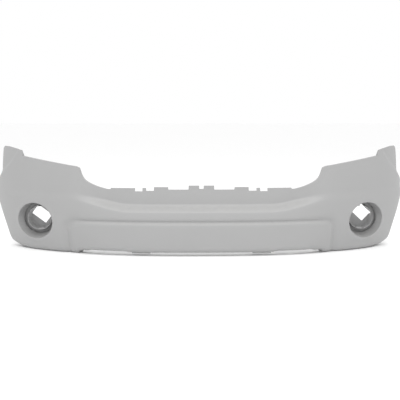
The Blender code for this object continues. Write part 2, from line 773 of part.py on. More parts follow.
# ---- Fasteners ------------------------------------------------------------------------------------
def screw_profile():
    tip = SCREW_RADIUS * 0.4
    round_off = SCREW_HEAD_HEIGHT * 0.35
    return [
        (0.0, SCREW_HEAD_HEIGHT),
        (SCREW_HEAD_RADIUS - 2.0 * round_off, SCREW_HEAD_HEIGHT),
        (SCREW_HEAD_RADIUS - round_off, SCREW_HEAD_HEIGHT - 0.3 * round_off),
        (SCREW_HEAD_RADIUS, SCREW_HEAD_HEIGHT - round_off),
        (SCREW_HEAD_RADIUS, 0.0),
        (SCREW_RADIUS, 0.0),
        (SCREW_RADIUS, -SCREW_LENGTH + SCREW_RADIUS),
        (tip, -SCREW_LENGTH),
        (0.0, -SCREW_LENGTH),
    ]


def push_nut_profile():
    inner = STUD_RADIUS + GAP
    return [
        (inner, 2.0 * PUSH_NUT_THICK),
        (PUSH_NUT_RADIUS, PUSH_NUT_THICK),
        (PUSH_NUT_RADIUS, 0.0),
        (inner, PUSH_NUT_THICK),
    ]


def screw(name, place, direction, parts, material):
    """A washer-head screw whose head's underside is at place and whose shank points along direction."""
    thing = turned(name, screw_profile(), parts, material, SEGMENTS_SMALL)
    point_along(thing, place, -Vector(direction))
    return thing


def cup_screws(side, parts, material):
    for number, place in enumerate(cup_screw_places(side), start=1):
        seat = place + Vector((0.0, FOG_FLANGE_THICK + 2.0 * GAP, 0.0))
        screw(f"{side_name(side)}_cup_screw_{number}", seat, (0.0, -1.0, 0.0), parts, material)


def spring_clip(name, edge, outward, across, parts, material):
    """A U-shaped spring nut pushed over a sheet's edge: edge is the middle of the sheet's edge,
    outward points off the sheet and across runs along the edge."""
    bm = bmesh.new()
    half = WALL / 2.0 + CLIP_GAP
    section_points = [(-CLIP_LENGTH, half), (0.0, half)]
    for number in range(1, 6):
        angle = math.pi / 2.0 - number * math.pi / 6.0
        section_points.append((half * math.cos(angle), half * math.sin(angle)))
    section_points += [(0.0, -half), (-CLIP_LENGTH, -half)]
    rows = [[bm.verts.new((x, y, z)) for x, y in section_points] for z in (-CLIP_WIDTH / 2.0, CLIP_WIDTH / 2.0)]
    for index in range(len(section_points) - 1):
        bm.faces.new((rows[0][index], rows[0][index + 1], rows[1][index + 1], rows[1][index]))
    bmesh.ops.recalc_face_normals(bm, faces=bm.faces)
    bm.normal_update()
    if max(bm.faces, key=lambda face: face.calc_center_median().x).normal.x < 0.0:
        bmesh.ops.reverse_faces(bm, faces=bm.faces)
    clip = new_object(name, mesh_from_bmesh(name, bm), parts, material)
    shade(clip)
    sheet = clip.modifiers.new("Sheet", "SOLIDIFY")
    sheet.thickness = CLIP_SHEET
    sheet.offset = 1.0
    sheet.use_even_offset = True
    off = Vector(outward).normalized()
    along = Vector(across).normalized()
    clip.matrix_world = Matrix.Translation(edge) @ Matrix((off, along.cross(off), along)).transposed().to_4x4()
    return clip


def mirrored(vector, side):
    return Vector((side * vector.x, vector.y, vector.z))


def arch_edge(z, beyond):
    return skin_point(arch_end(z), z, wing_set_in(z) + arch_lip_width(z) + beyond)


def arch_clips(side, parts, material):
    step = 0.004
    for number, height in enumerate(ARCH_CLIP_HEIGHTS, start=1):
        along = mirrored(arch_edge(height + step, 0.0) - arch_edge(height - step, 0.0), side)
        inward = mirrored(plan_normal(arch_end(height)), side)
        forward = along.cross(inward).normalized()
        if forward.y > 0.0:
            forward.negate()
        edge = mirrored(arch_edge(height, CLIP_GAP), side) + forward * (WALL / 2.0)
        spring_clip(f"{side_name(side)}_arch_clip_{number}", edge, inward, along, parts, material)


def bottom_clips(side, parts, material):
    for number, x in enumerate(BOTTOM_CLIPS, start=1):
        set_in = section(x)[-1][1] + CLIP_GAP
        edge = skin_point(x, bottom_height(x) + WALL / 2.0, set_in)
        inward = plan_normal(x)
        along = Vector((0.0, 0.0, 1.0)).cross(inward)
        spring_clip(
            f"{side_name(side)}_bottom_clip_{number}", mirrored(edge, side), mirrored(inward, side),
            mirrored(along, side), parts, material,
        )


# ---- Hidden strips --------------------------------------------------------------------------------
def strip_from(name, lines, parts, material, outward=(0.0, -1.0, 0.0)):
    strip = new_object(name, grid_mesh(name, lines, outward), parts, material)
    add_wall(strip, STRIP_THICK)
    return strip


def stud_holes(strip, places, tools):
    for number, (root, direction) in enumerate(places, start=1):
        hole = drum(
            f"{strip.name}_hole_{number}", root, direction, STUD_RADIUS + GAP, STUD_LENGTH, tools,
            segments=SEGMENTS_SMALL,
        )
        add_boolean(strip, hole, "DIFFERENCE")


def push_nuts(name, places, depth, parts, material):
    for number, (root, direction) in enumerate(places, start=1):
        nut = turned(f"{name}_push_nut_{number}", push_nut_profile(), parts, material, SEGMENTS_SMALL)
        point_along(nut, root + direction * depth, direction)


def strip_columns(low, high, columns):
    return [low] + [x for x in columns if low < x < high] + [high]


def upper_reinforcement(places, parts, tools, material):
    lines = []
    for x in strip_columns(0.0, UPPER_STRIP_HALF, column_positions()):
        heights = UPPER_STRIP_HEIGHTS
        lines.append([skin_point(x, z, band_set_in(z) + WALL + STRIP_GAP) for z in heights])
    strip = strip_from("upper_reinforcement", lines, parts, material)
    strip.modifiers.clear()
    add_mirror(strip)
    add_wall(strip, STRIP_THICK)
    stud_holes(strip, places, tools)
    return strip


def fender_bracket(side, places, parts, tools, material):
    lines = []
    first, last = FENDER_STRIP
    for x in flange_columns()[first:last + 1]:
        middle = fender_strip_middle(x)
        line = []
        for z in (middle - FENDER_STRIP_HALF, middle + FENDER_STRIP_HALF):
            set_in = wing_set_in(z) + JOGGLE_DEPTH + WALL + STRIP_GAP
            line.append(mirrored(skin_point(leaning(x, z), z, set_in), side))
        lines.append(line)
    strip = strip_from(f"{side_name(side)}_fender_bracket", lines, parts, material)
    stud_holes(strip, places, tools)
    return strip


def lower_screw_places():
    places = []
    for side in (-1.0, 1.0):
        for x in LOWER_SCREWS:
            middle = sum(LOWER_STRIP_SET_INS) / 2.0
            places.append(mirrored(skin_point(x, CENTRE_BOTTOM, middle), side))
    return places


def lower_reinforcement(parts, tools, material):
    lines = []
    height = CENTRE_BOTTOM + WALL + STRIP_GAP
    for x in strip_columns(0.0, LOWER_STRIP_HALF, column_positions()):
        lines.append([skin_point(x, height, set_in) for set_in in LOWER_STRIP_SET_INS])
    strip = new_object(
        "lower_reinforcement", grid_mesh("lower_reinforcement", lines, (0.0, 0.0, -1.0)), parts, material
    )
    add_mirror(strip)
    add_wall(strip, STRIP_THICK)
    for number, place in enumerate(lower_screw_places(), start=1):
        add_boolean(strip, screw_hole(f"lower_strip_hole_{number}", place, (0.0, 0.0, 1.0), tools), "DIFFERENCE")
    return strip


def main():
    clear_scene()
    parts = new_collection("bumper_cover")
    tools = new_collection("cutters")
    primer = finish_material("grey_primer", PRIMER)
    cup_plastic = finish_material("cup_plastic", CUP_PLASTIC)
    strip_plastic = finish_material("strip_plastic", STRIP_PLASTIC)
    zinc = finish_material("zinc_steel", ZINC_STEEL)
    spring = finish_material("spring_steel", SPRING_STEEL)
    studs = stud_places()
    holes = []
    for side in (-1.0, 1.0):
        for number, place in enumerate(cup_screw_places(side), start=1):
            holes.append(screw_hole(f"skin_hole_{side_name(side)}_{number}", place, (0.0, 1.0, 0.0), tools))
    for number, place in enumerate(lower_screw_places(), start=1):
        holes.append(screw_hole(f"skin_hole_lower_{number}", place, (0.0, 0.0, 1.0), tools))
    bumper_skin(parts, tools, primer, holes)
    upper_reinforcement(studs["upper"], parts, tools, strip_plastic)
    lower_reinforcement(parts, tools, strip_plastic)
    stud_depth = 0.5 * WALL + STRIP_GAP + STRIP_THICK + PUSH_NUT_GAP
    push_nuts("upper", studs["upper"], stud_depth, parts, spring)
    for number, place in enumerate(lower_screw_places(), start=1):
        seat = place - Vector((0.0, 0.0, GAP))
        screw(f"lower_screw_{number}", seat, (0.0, 0.0, 1.0), parts, zinc)
    for side in (-1.0, 1.0):
        name = side_name(side)
        fog_cup(side, parts, tools, cup_plastic)
        cup_screws(side, parts, zinc)
        fender_bracket(side, studs[name], parts, tools, strip_plastic)
        push_nuts(f"{name}_fender", studs[name], stud_depth, parts, spring)
        arch_clips(side, parts, spring)
        bottom_clips(side, parts, spring)
    for thing in list(parts.objects) + list(tools.objects):
        thing.location.z -= WING_BOTTOM


main()
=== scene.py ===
"""Finished surfaces of a front bumper cover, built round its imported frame.

Every size is in metres, with the cover's front towards -Y, +X to the viewer's right and +Z up.
"""

import json
import math

import bmesh
import bpy
from bpy.props import FloatProperty, FloatVectorProperty, IntProperty, PointerProperty
from mathutils import Matrix, Vector

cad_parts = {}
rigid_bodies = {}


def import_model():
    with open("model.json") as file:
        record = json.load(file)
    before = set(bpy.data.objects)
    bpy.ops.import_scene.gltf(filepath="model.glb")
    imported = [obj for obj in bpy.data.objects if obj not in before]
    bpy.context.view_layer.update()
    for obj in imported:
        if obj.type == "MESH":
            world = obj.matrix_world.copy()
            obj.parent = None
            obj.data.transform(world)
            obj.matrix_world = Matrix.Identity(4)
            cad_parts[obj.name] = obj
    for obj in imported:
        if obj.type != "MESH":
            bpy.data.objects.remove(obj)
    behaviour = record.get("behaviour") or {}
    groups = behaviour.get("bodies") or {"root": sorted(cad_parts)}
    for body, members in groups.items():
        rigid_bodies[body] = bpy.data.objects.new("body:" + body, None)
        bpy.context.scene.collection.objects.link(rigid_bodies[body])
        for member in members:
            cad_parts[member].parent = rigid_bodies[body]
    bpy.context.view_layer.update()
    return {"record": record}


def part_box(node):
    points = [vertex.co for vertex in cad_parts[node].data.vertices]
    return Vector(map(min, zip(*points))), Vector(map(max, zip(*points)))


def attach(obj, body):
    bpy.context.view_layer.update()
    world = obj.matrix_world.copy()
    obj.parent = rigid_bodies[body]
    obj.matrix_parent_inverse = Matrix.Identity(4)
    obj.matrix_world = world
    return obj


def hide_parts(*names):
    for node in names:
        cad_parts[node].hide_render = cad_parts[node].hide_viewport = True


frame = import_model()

bl_info = {
    "name": "Bumper Cover",
    "version": (1, 0, 0),
    "blender": (4, 5, 0),
    "location": "View3D > Sidebar > Cover",
    "description": "Builds the moulding, cups, strips and fasteners of a front bumper cover",
    "category": "Add Mesh",
}

# ---- Proportions of the moulding ------------------------------------------------------------------
SKIN_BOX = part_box("bumper_skin")
FRONT_Y = SKIN_BOX[0][1]

CENTRE_TOP = 0.2615         # edge under the grille
RISE_START = 0.405          # the edge sweeps up to the headlamp corner between these
RISE_KNEE = 0.523
CORNER_X = 0.537
CORNER_TOP = 0.3593
SOFT_RISE = (0.0525, 1.75)  # height and power of the two curves that make up the sweep
SHARP_RISE = (0.0370, 14.0)
KNEE_POWER = 0.7            # how early the sweep gives way to the headlamp edge beyond the knee
HEADLAMP_SLOPE = 0.145
FLANGE_START = 0.792        # inboard end of the flange that the wing panel overlaps
FLANGE_TOP = (0.4205, 0.4345)
FLANGE_RISE_SHARE = 0.65    # the flange's top edge rises over this share of its length
FLANGE_RISE_POWER = 0.8
FLANGE_TIP = 0.012          # drop of the flange's top edge at its outer end
FLANGE_TIP_SPAN = 0.12      # the drop's share of the flange's length
FLANGE_TIP_FROM = 7.33      # where the drop starts, counted in such spans
JOGGLE_START = (0.826, 0.416)
JOGGLE_END = (0.9195, 0.313)
JOGGLE_POWER = 0.75
JOGGLE_HALF = 0.011
JOGGLE_DEPTH = 0.008
JOGGLE_SLANT = 0.7          # distance from the joggle's line for each unit of height above it
ARCH_END = 0.9625           # plan position of the wheel-arch edge, at its widest
ARCH_SWEEP = 0.086
ARCH_SWEEP_POWER = 1.5
ARCH_UPPER_SWEEP = 0.042
ARCH_UPPER_SPAN = (0.250, 0.315)
ARCH_WIDEST = 0.250
ARCH_CORNER = 0.020
ARCH_CORNER_SHARE = 0.97    # part of the corner's radius that the rounding takes up
SWEEP_START = 0.838         # columns beyond this lean with the wheel-arch edge
CENTRE_BOTTOM = -0.002
RAISED_EDGE = 0.0015
RAISED_SPAN = (0.305, 0.325)
SILL_EDGE = -0.003
SILL_SPAN = (0.470, 0.500)
WING_BOTTOM = -0.0165       # the wings hang lowest, so the cover stands on them
WING_BOTTOM_SPAN = (0.520, 0.545)
WING_BOTTOM_SLOPE = 0.12
WING_BOTTOM_FROM = 0.780

BAND_SET_IN = 0.060
CREASE_SET_IN = 0.053
CREASE_HEIGHT = 0.202
CREASE_RISE = 0.050
CREASE_RISE_SPAN = (0.30, 0.60)
SHELF_DROP = 0.036
SHELF_FOOT = 0.018
BELT_SET_IN = 0.004
WING_MORPH = (0.400, 0.570)
WING_UPPER_CURVE = 0.30
WING_LOWER_CURVE = 0.45
WING_UPPER_FROM = 0.250
WING_LOWER_FROM = 0.220
WING_SHELF = 0.005          # soft shoulder that runs on along the wing from the centre's step
WING_SHELF_SPAN = (0.205, 0.250)

PANEL_HALF = 0.582
PANEL_TOP = 0.127
PANEL_CORNER = 0.045
GROOVE_DEPTH = 0.009
SIDE_GROOVE_DEPTH = 0.009
GROOVE_HALF = 0.008
SIDE_GROOVE_HALF = 1.8 * GROOVE_HALF
GROOVE_FOOT = PANEL_TOP - 1.6 * GROOVE_HALF

BOTTOM_ROLL = 0.018
BOTTOM_LIP = 0.034
EDGE_LIP = 0.012
EDGE_LIP_SPAN = 0.03        # the headlamp edge's lip widens over this length
ARCH_LIP = 0.022
ARCH_LIP_TOP = (0.240, 0.300)
LIP_NARROWS_FROM = 0.820

# Steps along the grille edge: inner x, outer x, height of the edge between them.
EDGE_STEPS = (
    (0.0000, 0.0095, 0.2645),
    (0.0095, 0.0550, 0.2782),
    (0.1430, 0.2055, 0.2715),
    (0.2055, 0.2410, 0.2560),
    (0.2410, 0.2560, 0.2675),
    (0.2560, 0.2900, 0.2535),
    (0.2900, 0.3985, 0.2665),
)

# How the moulding's grid is divided.
EDGE_MARGIN = 0.0012        # rows this far below the lowest notch no longer follow the edge's steps
EDGE_ROWS = 5
BAND_ROWS = 22
STEP_ROWS = 12
BELT_ROWS = 4
GROOVE_ROWS = 10
PANEL_ROWS = 13
ROLL_ROWS = 6
COLUMN_PAIR = 0.0004        # half the gap between the two columns at a step of the top edge
SWEEP_COLUMNS = 2.6         # how many times closer the columns stand where the edge sweeps up
PLAN_SAMPLES = 400

LOWER_TAB = (0.219, 0.298)
LOWER_TAB_LENGTH = 0.040
LOWER_TAB_DROP = 0.0045
LEDGE_TAB = (0.640, 0.700)
LEDGE_TAB_LENGTH = 0.030
LEDGE_DROP = 0.015

STUD_RADIUS = 0.0035
STUD_LENGTH = 0.012
STUD_ROOT = 0.0073          # from a push nut's middle back to the root of its stud
UPPER_NUT_SET_IN = 0.065    # depth of the push nuts behind the plan curve
FENDER_NUT_SET_IN = 0.028

RING_CENTRE = (0.728, 0.1145)
RING_RADII = (0.0835, 0.0790)
RING_ROLL = 0.0045
RIM_HEIGHT = 0.0016
RIM_WIDTH = 0.007
RIM_REACH = 0.004
THROAT_CENTRE = (0.7195, 0.1180)
THROAT_RADIUS = 0.070
THROAT_FRONT = 0.245
THROAT_BACK = 0.270
THROAT_ENTRY = ((0.002, 0.0), (0.0004, 0.003), (0.0, 0.007))  # extra radius and depth past its front
THROAT_CHAMFER = 0.0005
FOG_FLANGE_RADIUS = 0.088
PATCH_X = (0.6280, 0.8340)
PATCH_Z = (0.0215, 0.2050)

CUP_RIM_RADIUS = 0.054
CUP_BACK_RADIUS = 0.048
CUP_WALL = 0.0025
CUP_RIM_FRONT = 0.236
CUP_BACK = 0.284
CUP_FILLET = 0.006
CUP_FLANGE_RADIUS = 0.087
CUP_FLANGE_FACE = -0.0003   # just behind the rear face of the throat
CUP_FLANGE_WALL = 0.004
CUP_FLANGE_ROUND = 0.0008
CUP_RIM_CHAMFER = 0.003
CUP_CHAMFER = 0.002
CUP_HEEL = 0.0005           # rise of the back's softened edge
CUP_SCREW_CIRCLE = 0.0805
CUP_HOLE_RADIUS = 0.0024
CUP_HOLE_START = 0.010      # each screw hole is cut from this far in front of the flange
CUP_HOLE_LENGTH = 0.030
LUG_DEPTH = 0.012
LUG_SET_BACK = 0.001        # the lugs start this far behind the rim's front edge

# Locating lugs of a cup: angle round the rim and its shift by side, in degrees, width, reach.
CUP_LUGS = (
    (-90.0, 8.0, 0.026, 0.0075),
    (90.0, 32.0, 0.010, 0.0070),
)

# Window of each cup: length, width, tilt, and its middle outward of and above the throat's.
WINDOWS = {
    "left": (0.076, 0.048, math.radians(37.0), -0.002, 0.012),
    "right": (0.067, 0.054, math.radians(43.0), 0.010, 0.019),
}
WINDOW_REACH = (-0.055, 0.010)  # depths, from the cup's floor, between which a window is cut

# ---- View and light -------------------------------------------------------------------------------
CAMERA_PLACE = (-0.058, FRONT_Y - 3.2, 0.600 - WING_BOTTOM)
CAMERA_PITCH = math.radians(6.7)
CAMERA_YAW = math.radians(0.913)
CAMERA_LENS = 69.6
FLOOR_SIZE = 60.0
FLOOR_COLOUR = (0.98, 0.98, 0.98)
SOFTBOX_PLACE = (0.0, -1.6, 3.2)
SOFTBOX_AIM = (0.0, 0.0, 0.1)
SOFTBOX_SIZE = (4.5, 2.5)
SOFTBOX_POWER = 60.0


class CoverSizes(bpy.types.PropertyGroup):
    """Sizes of the moulding that change its whole shape."""

    half_width: FloatProperty(
        name="Half width", description="Half width of the plan curve", default=0.964, unit="LENGTH"
    )
    plan_depth: FloatProperty(
        name="Plan depth", description="Depth of the plan curve at its ends", default=0.520, unit="LENGTH"
    )
    plan_power: FloatProperty(
        name="Squareness", description="Squareness of the plan curve", default=2.4, min=2.0, max=4.0
    )
    wall: FloatProperty(name="Wall", description="Thickness of the moulding", default=0.003, unit="LENGTH")


class CoverFinish(bpy.types.PropertyGroup):
    """Colours and surface values of the finishes."""

    primer: FloatVectorProperty(
        name="Primer", description="Colour of the grey primer", default=(0.354, 0.354, 0.354),
        subtype="COLOR", size=3,
    )
    cup: FloatVectorProperty(
        name="Cup", description="Colour of the fog-lamp cups", default=(0.52, 0.52, 0.52),
        subtype="COLOR", size=3,
    )
    strip: FloatVectorProperty(
        name="Strip", description="Colour of the hidden plastic strips", default=(0.035, 0.035, 0.037),
        subtype="COLOR", size=3,
    )
    zinc: FloatVectorProperty(
        name="Zinc", description="Colour of the plated screws", default=(0.62, 0.61, 0.57),
        subtype="COLOR", size=3,
    )
    spring: FloatVectorProperty(
        name="Spring steel", description="Colour of the clips and push nuts", default=(0.11, 0.11, 0.12),
        subtype="COLOR", size=3,
    )
    grain: FloatProperty(
        name="Grain", description="Strength of the fine surface texture", default=0.35, min=0.0, max=1.0
    )
    dust: FloatProperty(
        name="Dust", description="Amount of dust on faces that look up", default=0.25, min=0.0, max=1.0
    )


class CoverDetail(bpy.types.PropertyGroup):
    """How finely the pieces are divided."""

    column_gap: FloatProperty(
        name="Column gap", description="Widest gap between columns of the moulding", default=0.0125,
        unit="LENGTH",
    )
    turn_steps: IntProperty(name="Turn steps", description="Steps round a turned piece", default=96, min=24)


# ---- Small formulas -------------------------------------------------------------------------------
def smooth_step(low, high, value):
    share = min(max((value - low) / (high - low), 0.0), 1.0)
    return share * share * (3.0 - 2.0 * share)


def mix(first, second, share):
    return first + (second - first) * share


def steps(first, last, count):
    return [mix(first, last, index / count) for index in range(count + 1)]


def side_name(side):
    return "left" if side < 0.0 else "right"


def mirrored(point, side):
    return Vector((side * point[0], point[1], point[2]))


# ---- The surface of the cover ---------------------------------------------------------------------
def sizes():
    return bpy.context.scene.cover_sizes


def finish():
    return bpy.context.scene.cover_finish


def detail():
    return bpy.context.scene.cover_detail


def plan_depth(x):
    own = sizes()
    share = min(x / own.half_width, 1.0) ** own.plan_power
    return own.plan_depth * (1.0 - math.sqrt(max(1.0 - share, 0.0)))


def plan_normal(x):
    """Unit vector in plan that points into the cover."""
    step = 0.0005
    low = min(max(x - step, 0.0), sizes().half_width - 2.0 * step)
    slope = (plan_depth(low + 2.0 * step) - plan_depth(low)) / (2.0 * step)
    if x < step:
        slope = 0.0
    return Vector((-slope, 1.0, 0.0)).normalized()


def skin_point(x, z, set_in):
    return Vector((x, FRONT_Y + plan_depth(x), z)) + plan_normal(x) * set_in


def plain_top(x):
    """Top edge without the small steps of the grille edge and the wing flange."""
    if x < RISE_START:
        return CENTRE_TOP
    line = CORNER_TOP + (x - CORNER_X) * HEADLAMP_SLOPE
    share = min((x - RISE_START) / (RISE_KNEE - RISE_START), 1.0)
    sweep = CENTRE_TOP + SOFT_RISE[0] * share ** SOFT_RISE[1] + SHARP_RISE[0] * share ** SHARP_RISE[1]
    return mix(sweep, line, min(max((x - RISE_KNEE) / (CORNER_X - RISE_KNEE), 0.0), 1.0) ** KNEE_POWER)


def top_height(x):
    """Top edge with the steps of the grille edge and the raised wing flange."""
    for inner, outer, height in EDGE_STEPS:
        if inner <= x < outer:
            return height
    if x < FLANGE_START:
        return plain_top(x)
    share = (x - FLANGE_START) / (ARCH_END - FLANGE_START)
    rise = min(share / FLANGE_RISE_SHARE, 1.0) ** FLANGE_RISE_POWER
    drop = max(share / FLANGE_TIP_SPAN - FLANGE_TIP_FROM, 0.0) ** 2
    return mix(*FLANGE_TOP, rise) - FLANGE_TIP * drop


def bottom_height(x):
    edge = mix(CENTRE_BOTTOM, RAISED_EDGE, smooth_step(*RAISED_SPAN, x))
    edge = mix(edge, SILL_EDGE, smooth_step(*SILL_SPAN, x))
    edge = mix(edge, WING_BOTTOM, smooth_step(*WING_BOTTOM_SPAN, x))
    edge += WING_BOTTOM_SLOPE * max(x - WING_BOTTOM_FROM, 0.0)
    rounding = min(max(x - (ARCH_END - ARCH_CORNER), 0.0), ARCH_CORNER_SHARE * ARCH_CORNER)
    return edge + ARCH_CORNER - math.sqrt(ARCH_CORNER ** 2 - rounding ** 2)


def crease_height(x):
    return CREASE_HEIGHT + CREASE_RISE * smooth_step(*CREASE_RISE_SPAN, x)


def wing_set_in(z):
    upper = max(z - WING_UPPER_FROM, 0.0)
    lower = max(WING_LOWER_FROM - z, 0.0)
    shelf = WING_SHELF * smooth_step(*WING_SHELF_SPAN, z)
    return WING_UPPER_CURVE * upper ** 2 + WING_LOWER_CURVE * lower ** 2 + shelf


def centre_set_in(x, z):
    """Band under the grille, step below it, and belt, at the middle of the cover."""
    crease = crease_height(x)
    if z >= crease:
        share = min((z - crease) / (CENTRE_TOP - CREASE_HEIGHT), 1.0)
        return mix(CREASE_SET_IN, BAND_SET_IN, share)
    foot = mix(SHELF_FOOT, BELT_SET_IN, min((crease - z) / (crease - PANEL_TOP - GROOVE_HALF), 1.0))
    return mix(CREASE_SET_IN, foot, smooth_step(0.0, SHELF_DROP, crease - z))


def joggle(x, z):
    """How far the wing flange is stepped in, so that the wing panel can lie over it."""
    start_x, start_z = JOGGLE_START
    end_x, end_z = JOGGLE_END
    share = max((x - start_x) / (end_x - start_x), 0.0)
    line = mix(start_z, end_z, share ** JOGGLE_POWER)
    if x < start_x:
        line = start_z + (start_x - x)
    return JOGGLE_DEPTH * smooth_step(-JOGGLE_HALF, JOGGLE_HALF, JOGGLE_SLANT * (z - line))


def panel_distance(x, z):
    """Signed distance to the raised panel's outline, negative on the panel."""
    across = x - (PANEL_HALF - PANEL_CORNER)
    above = z - (PANEL_TOP - PANEL_CORNER)
    outside = math.hypot(max(across, 0.0), max(above, 0.0))
    return outside + min(max(across, above), 0.0) - PANEL_CORNER


def panel_set_in(x, z):
    """The groove round the raised panel, and the panel standing proud of the belt."""
    distance = panel_distance(x, z)
    on_side = smooth_step(PANEL_HALF - 2.0 * PANEL_CORNER, PANEL_HALF, x)
    depth = mix(GROOVE_DEPTH, SIDE_GROOVE_DEPTH, on_side)
    width = mix(GROOVE_HALF, SIDE_GROOVE_HALF, on_side)
    proud = BELT_SET_IN * smooth_step(GROOVE_HALF, -GROOVE_HALF, distance) * (1.0 - on_side)
    return depth * math.exp(-((distance / width) ** 2)) - proud


def bottom_roll(x, z):
    above = z - bottom_height(x)
    if above >= BOTTOM_ROLL:
        return 0.0
    inside = BOTTOM_ROLL - max(above, 0.0)
    return BOTTOM_ROLL - math.sqrt(BOTTOM_ROLL ** 2 - inside ** 2)


def rim_swell(x, z):
    """The soft raised rim just outside the flared mouth of a fog recess."""
    away = ring_distance(x, z) - RIM_WIDTH
    return -RIM_HEIGHT * math.exp(-((away / RIM_WIDTH) ** 2))


def ring_distance(x, z):
    across = (x - RING_CENTRE[0]) / RING_RADII[0]
    up = (z - RING_CENTRE[1]) / RING_RADII[1]
    return (math.hypot(across, up) - 1.0) * min(RING_RADII)


def set_in_at(x, z):
    morph = smooth_step(*WING_MORPH, x)
    depth = mix(centre_set_in(x, z), wing_set_in(z), morph)
    depth += panel_set_in(x, z) + rim_swell(x, z)
    if x > WING_MORPH[1]:
        depth += joggle(x, z)
    return depth


def section_heights(x):
    """Heights of the rows at plan position x, from the top edge down to the bottom edge."""
    top = top_height(x)
    plain = min(plain_top(x), top) - EDGE_MARGIN
    if x < RISE_START:
        plain = min(height for _, _, height in EDGE_STEPS) - EDGE_MARGIN
    crease = crease_height(x)
    edge = bottom_height(x)
    heights = steps(top, plain, EDGE_ROWS)
    heights += steps(plain, crease, BAND_ROWS)[1:]
    heights += steps(crease, crease - SHELF_DROP, STEP_ROWS)[1:]
    heights += steps(crease - SHELF_DROP, PANEL_TOP + GROOVE_HALF, BELT_ROWS)[1:]
    heights += steps(PANEL_TOP + GROOVE_HALF, GROOVE_FOOT, GROOVE_ROWS)[1:]
    heights += steps(GROOVE_FOOT, edge + BOTTOM_ROLL, PANEL_ROWS)[1:]
    for turn in steps(0.0, math.pi / 2.0, ROLL_ROWS)[1:]:
        heights.append(edge + BOTTOM_ROLL * (1.0 - math.sin(turn)))
    return heights


def arch_end(z):
    above_ground = min(max(z, 0.0) / ARCH_WIDEST, 1.0)
    low = 1.0 - above_ground ** ARCH_SWEEP_POWER
    high = smooth_step(*ARCH_UPPER_SPAN, z)
    return ARCH_END - ARCH_SWEEP * low - ARCH_UPPER_SWEEP * high


def arch_lip_width(z):
    return mix(ARCH_LIP, EDGE_LIP, smooth_step(*ARCH_LIP_TOP, z))


def top_lip_width(x):
    """The return lip behind the headlamp edge; the grille edge and the flange have none."""
    if x >= FLANGE_START:
        return 0.0
    return EDGE_LIP * smooth_step(RISE_START, RISE_START + EDGE_LIP_SPAN, x)


def even_along(low, high, widest):
    """Plan positions from low to high, evenly spaced along the plan curve."""
    fine = steps(low, high, PLAN_SAMPLES)
    lengths = [0.0]
    for first, second in zip(fine, fine[1:]):
        lengths.append(lengths[-1] + math.hypot(second - first, plan_depth(second) - plan_depth(first)))
    count = max(math.ceil(lengths[-1] / widest), 1)
    picked = []
    place = 0
    for number in range(count + 1):
        while place < len(fine) - 1 and lengths[place] < lengths[-1] * number / count - 1e-9:
            place += 1
        picked.append(fine[place])
    picked[-1] = high
    return picked


def column_positions():
    """Plan positions of the columns, with a close pair at each step of the top edge."""
    widest = detail().column_gap
    edges = {place for inner, outer, _ in EDGE_STEPS for place in (inner, outer) if place > 0.0}
    marks = [0.0]
    for edge in sorted(edges):
        marks += [edge - COLUMN_PAIR, edge + COLUMN_PAIR]
    marks += [RISE_START, WING_MORPH[1], FLANGE_START - COLUMN_PAIR, FLANGE_START + COLUMN_PAIR]
    marks += [SWEEP_START, ARCH_END]
    columns = [0.0]
    for low, high in zip(marks, marks[1:]):
        gap = widest
        if RISE_START <= low < WING_MORPH[1]:
            gap = widest / SWEEP_COLUMNS
        columns += even_along(low, high, gap)[1:]
    return columns


def leaning(x, z):
    """Plan position at height z of the column at x, which leans with the wheel-arch edge."""
    share = max(x - SWEEP_START, 0.0) / (ARCH_END - SWEEP_START)
    return x - share * (ARCH_END - arch_end(z))


def half_skin_rows():
    """Points of the right half: one line of the section for each column."""
    lines = []
    for x in column_positions():
        heights = section_heights(x)
        line = []
        for height in heights:
            along = leaning(x, height)
            line.append((along, height, set_in_at(along, height) + bottom_roll(x, height)))
        lip = mix(BOTTOM_LIP, ARCH_LIP, smooth_step(LIP_NARROWS_FROM, ARCH_END, x))
        along, height, set_in = line[0]
        first = (along, height, set_in + top_lip_width(x))
        along, height, set_in = line[-1]
        last = (along, height, set_in + lip)
        lines.append([first] + line + [last])
    arch_lip = [(along, height, set_in + arch_lip_width(height)) for along, height, set_in in lines[-1]]
    arch_lip[0] = arch_lip[1]
    arch_lip[-1] = arch_lip[-2]
    lines.append(arch_lip)
    return [[skin_point(*entry) for entry in line] for line in lines]


def plan_place(x, z):
    """Plan position whose surface point has this x, at height z."""
    place = x
    for _ in range(6):
        place = x - plan_normal(place).x * set_in_at(place, z)
    return place


def surface_at(x, z, deeper=0.0):
    """Point of the outer surface straight behind (x, z), moved deeper along Y."""
    place = plan_place(x, z)
    point = skin_point(place, z, set_in_at(place, z))
    return Vector((x, point.y + deeper, z))


# ---- Mesh helpers ---------------------------------------------------------------------------------
def deselect_all():
    if bpy.context.object and bpy.context.object.mode != "OBJECT":
        bpy.ops.object.mode_set(mode="OBJECT")
    bpy.ops.object.select_all(action="DESELECT")


def make_active(piece):
    deselect_all()
    piece.select_set(True)
    bpy.context.view_layer.objects.active = piece


def apply_modifiers(piece):
    make_active(piece)
    for modifier in list(piece.modifiers):
        bpy.ops.object.modifier_apply(modifier=modifier.name)


def smooth_by_angle(piece, degrees):
    make_active(piece)
    bpy.ops.object.shade_smooth_by_angle(angle=math.radians(degrees))


def settle(piece):
    """Put the piece's place into its mesh, so that its object stands at the origin."""
    make_active(piece)
    bpy.ops.object.transform_apply(location=True, rotation=True, scale=True)


def boolean(piece, tool, operation):
    modifier = piece.modifiers.new(operation.title(), "BOOLEAN")
    modifier.operation = operation
    modifier.solver = "EXACT"
    modifier.object = tool
    apply_modifiers(piece)
    bpy.data.objects.remove(tool, do_unlink=True)


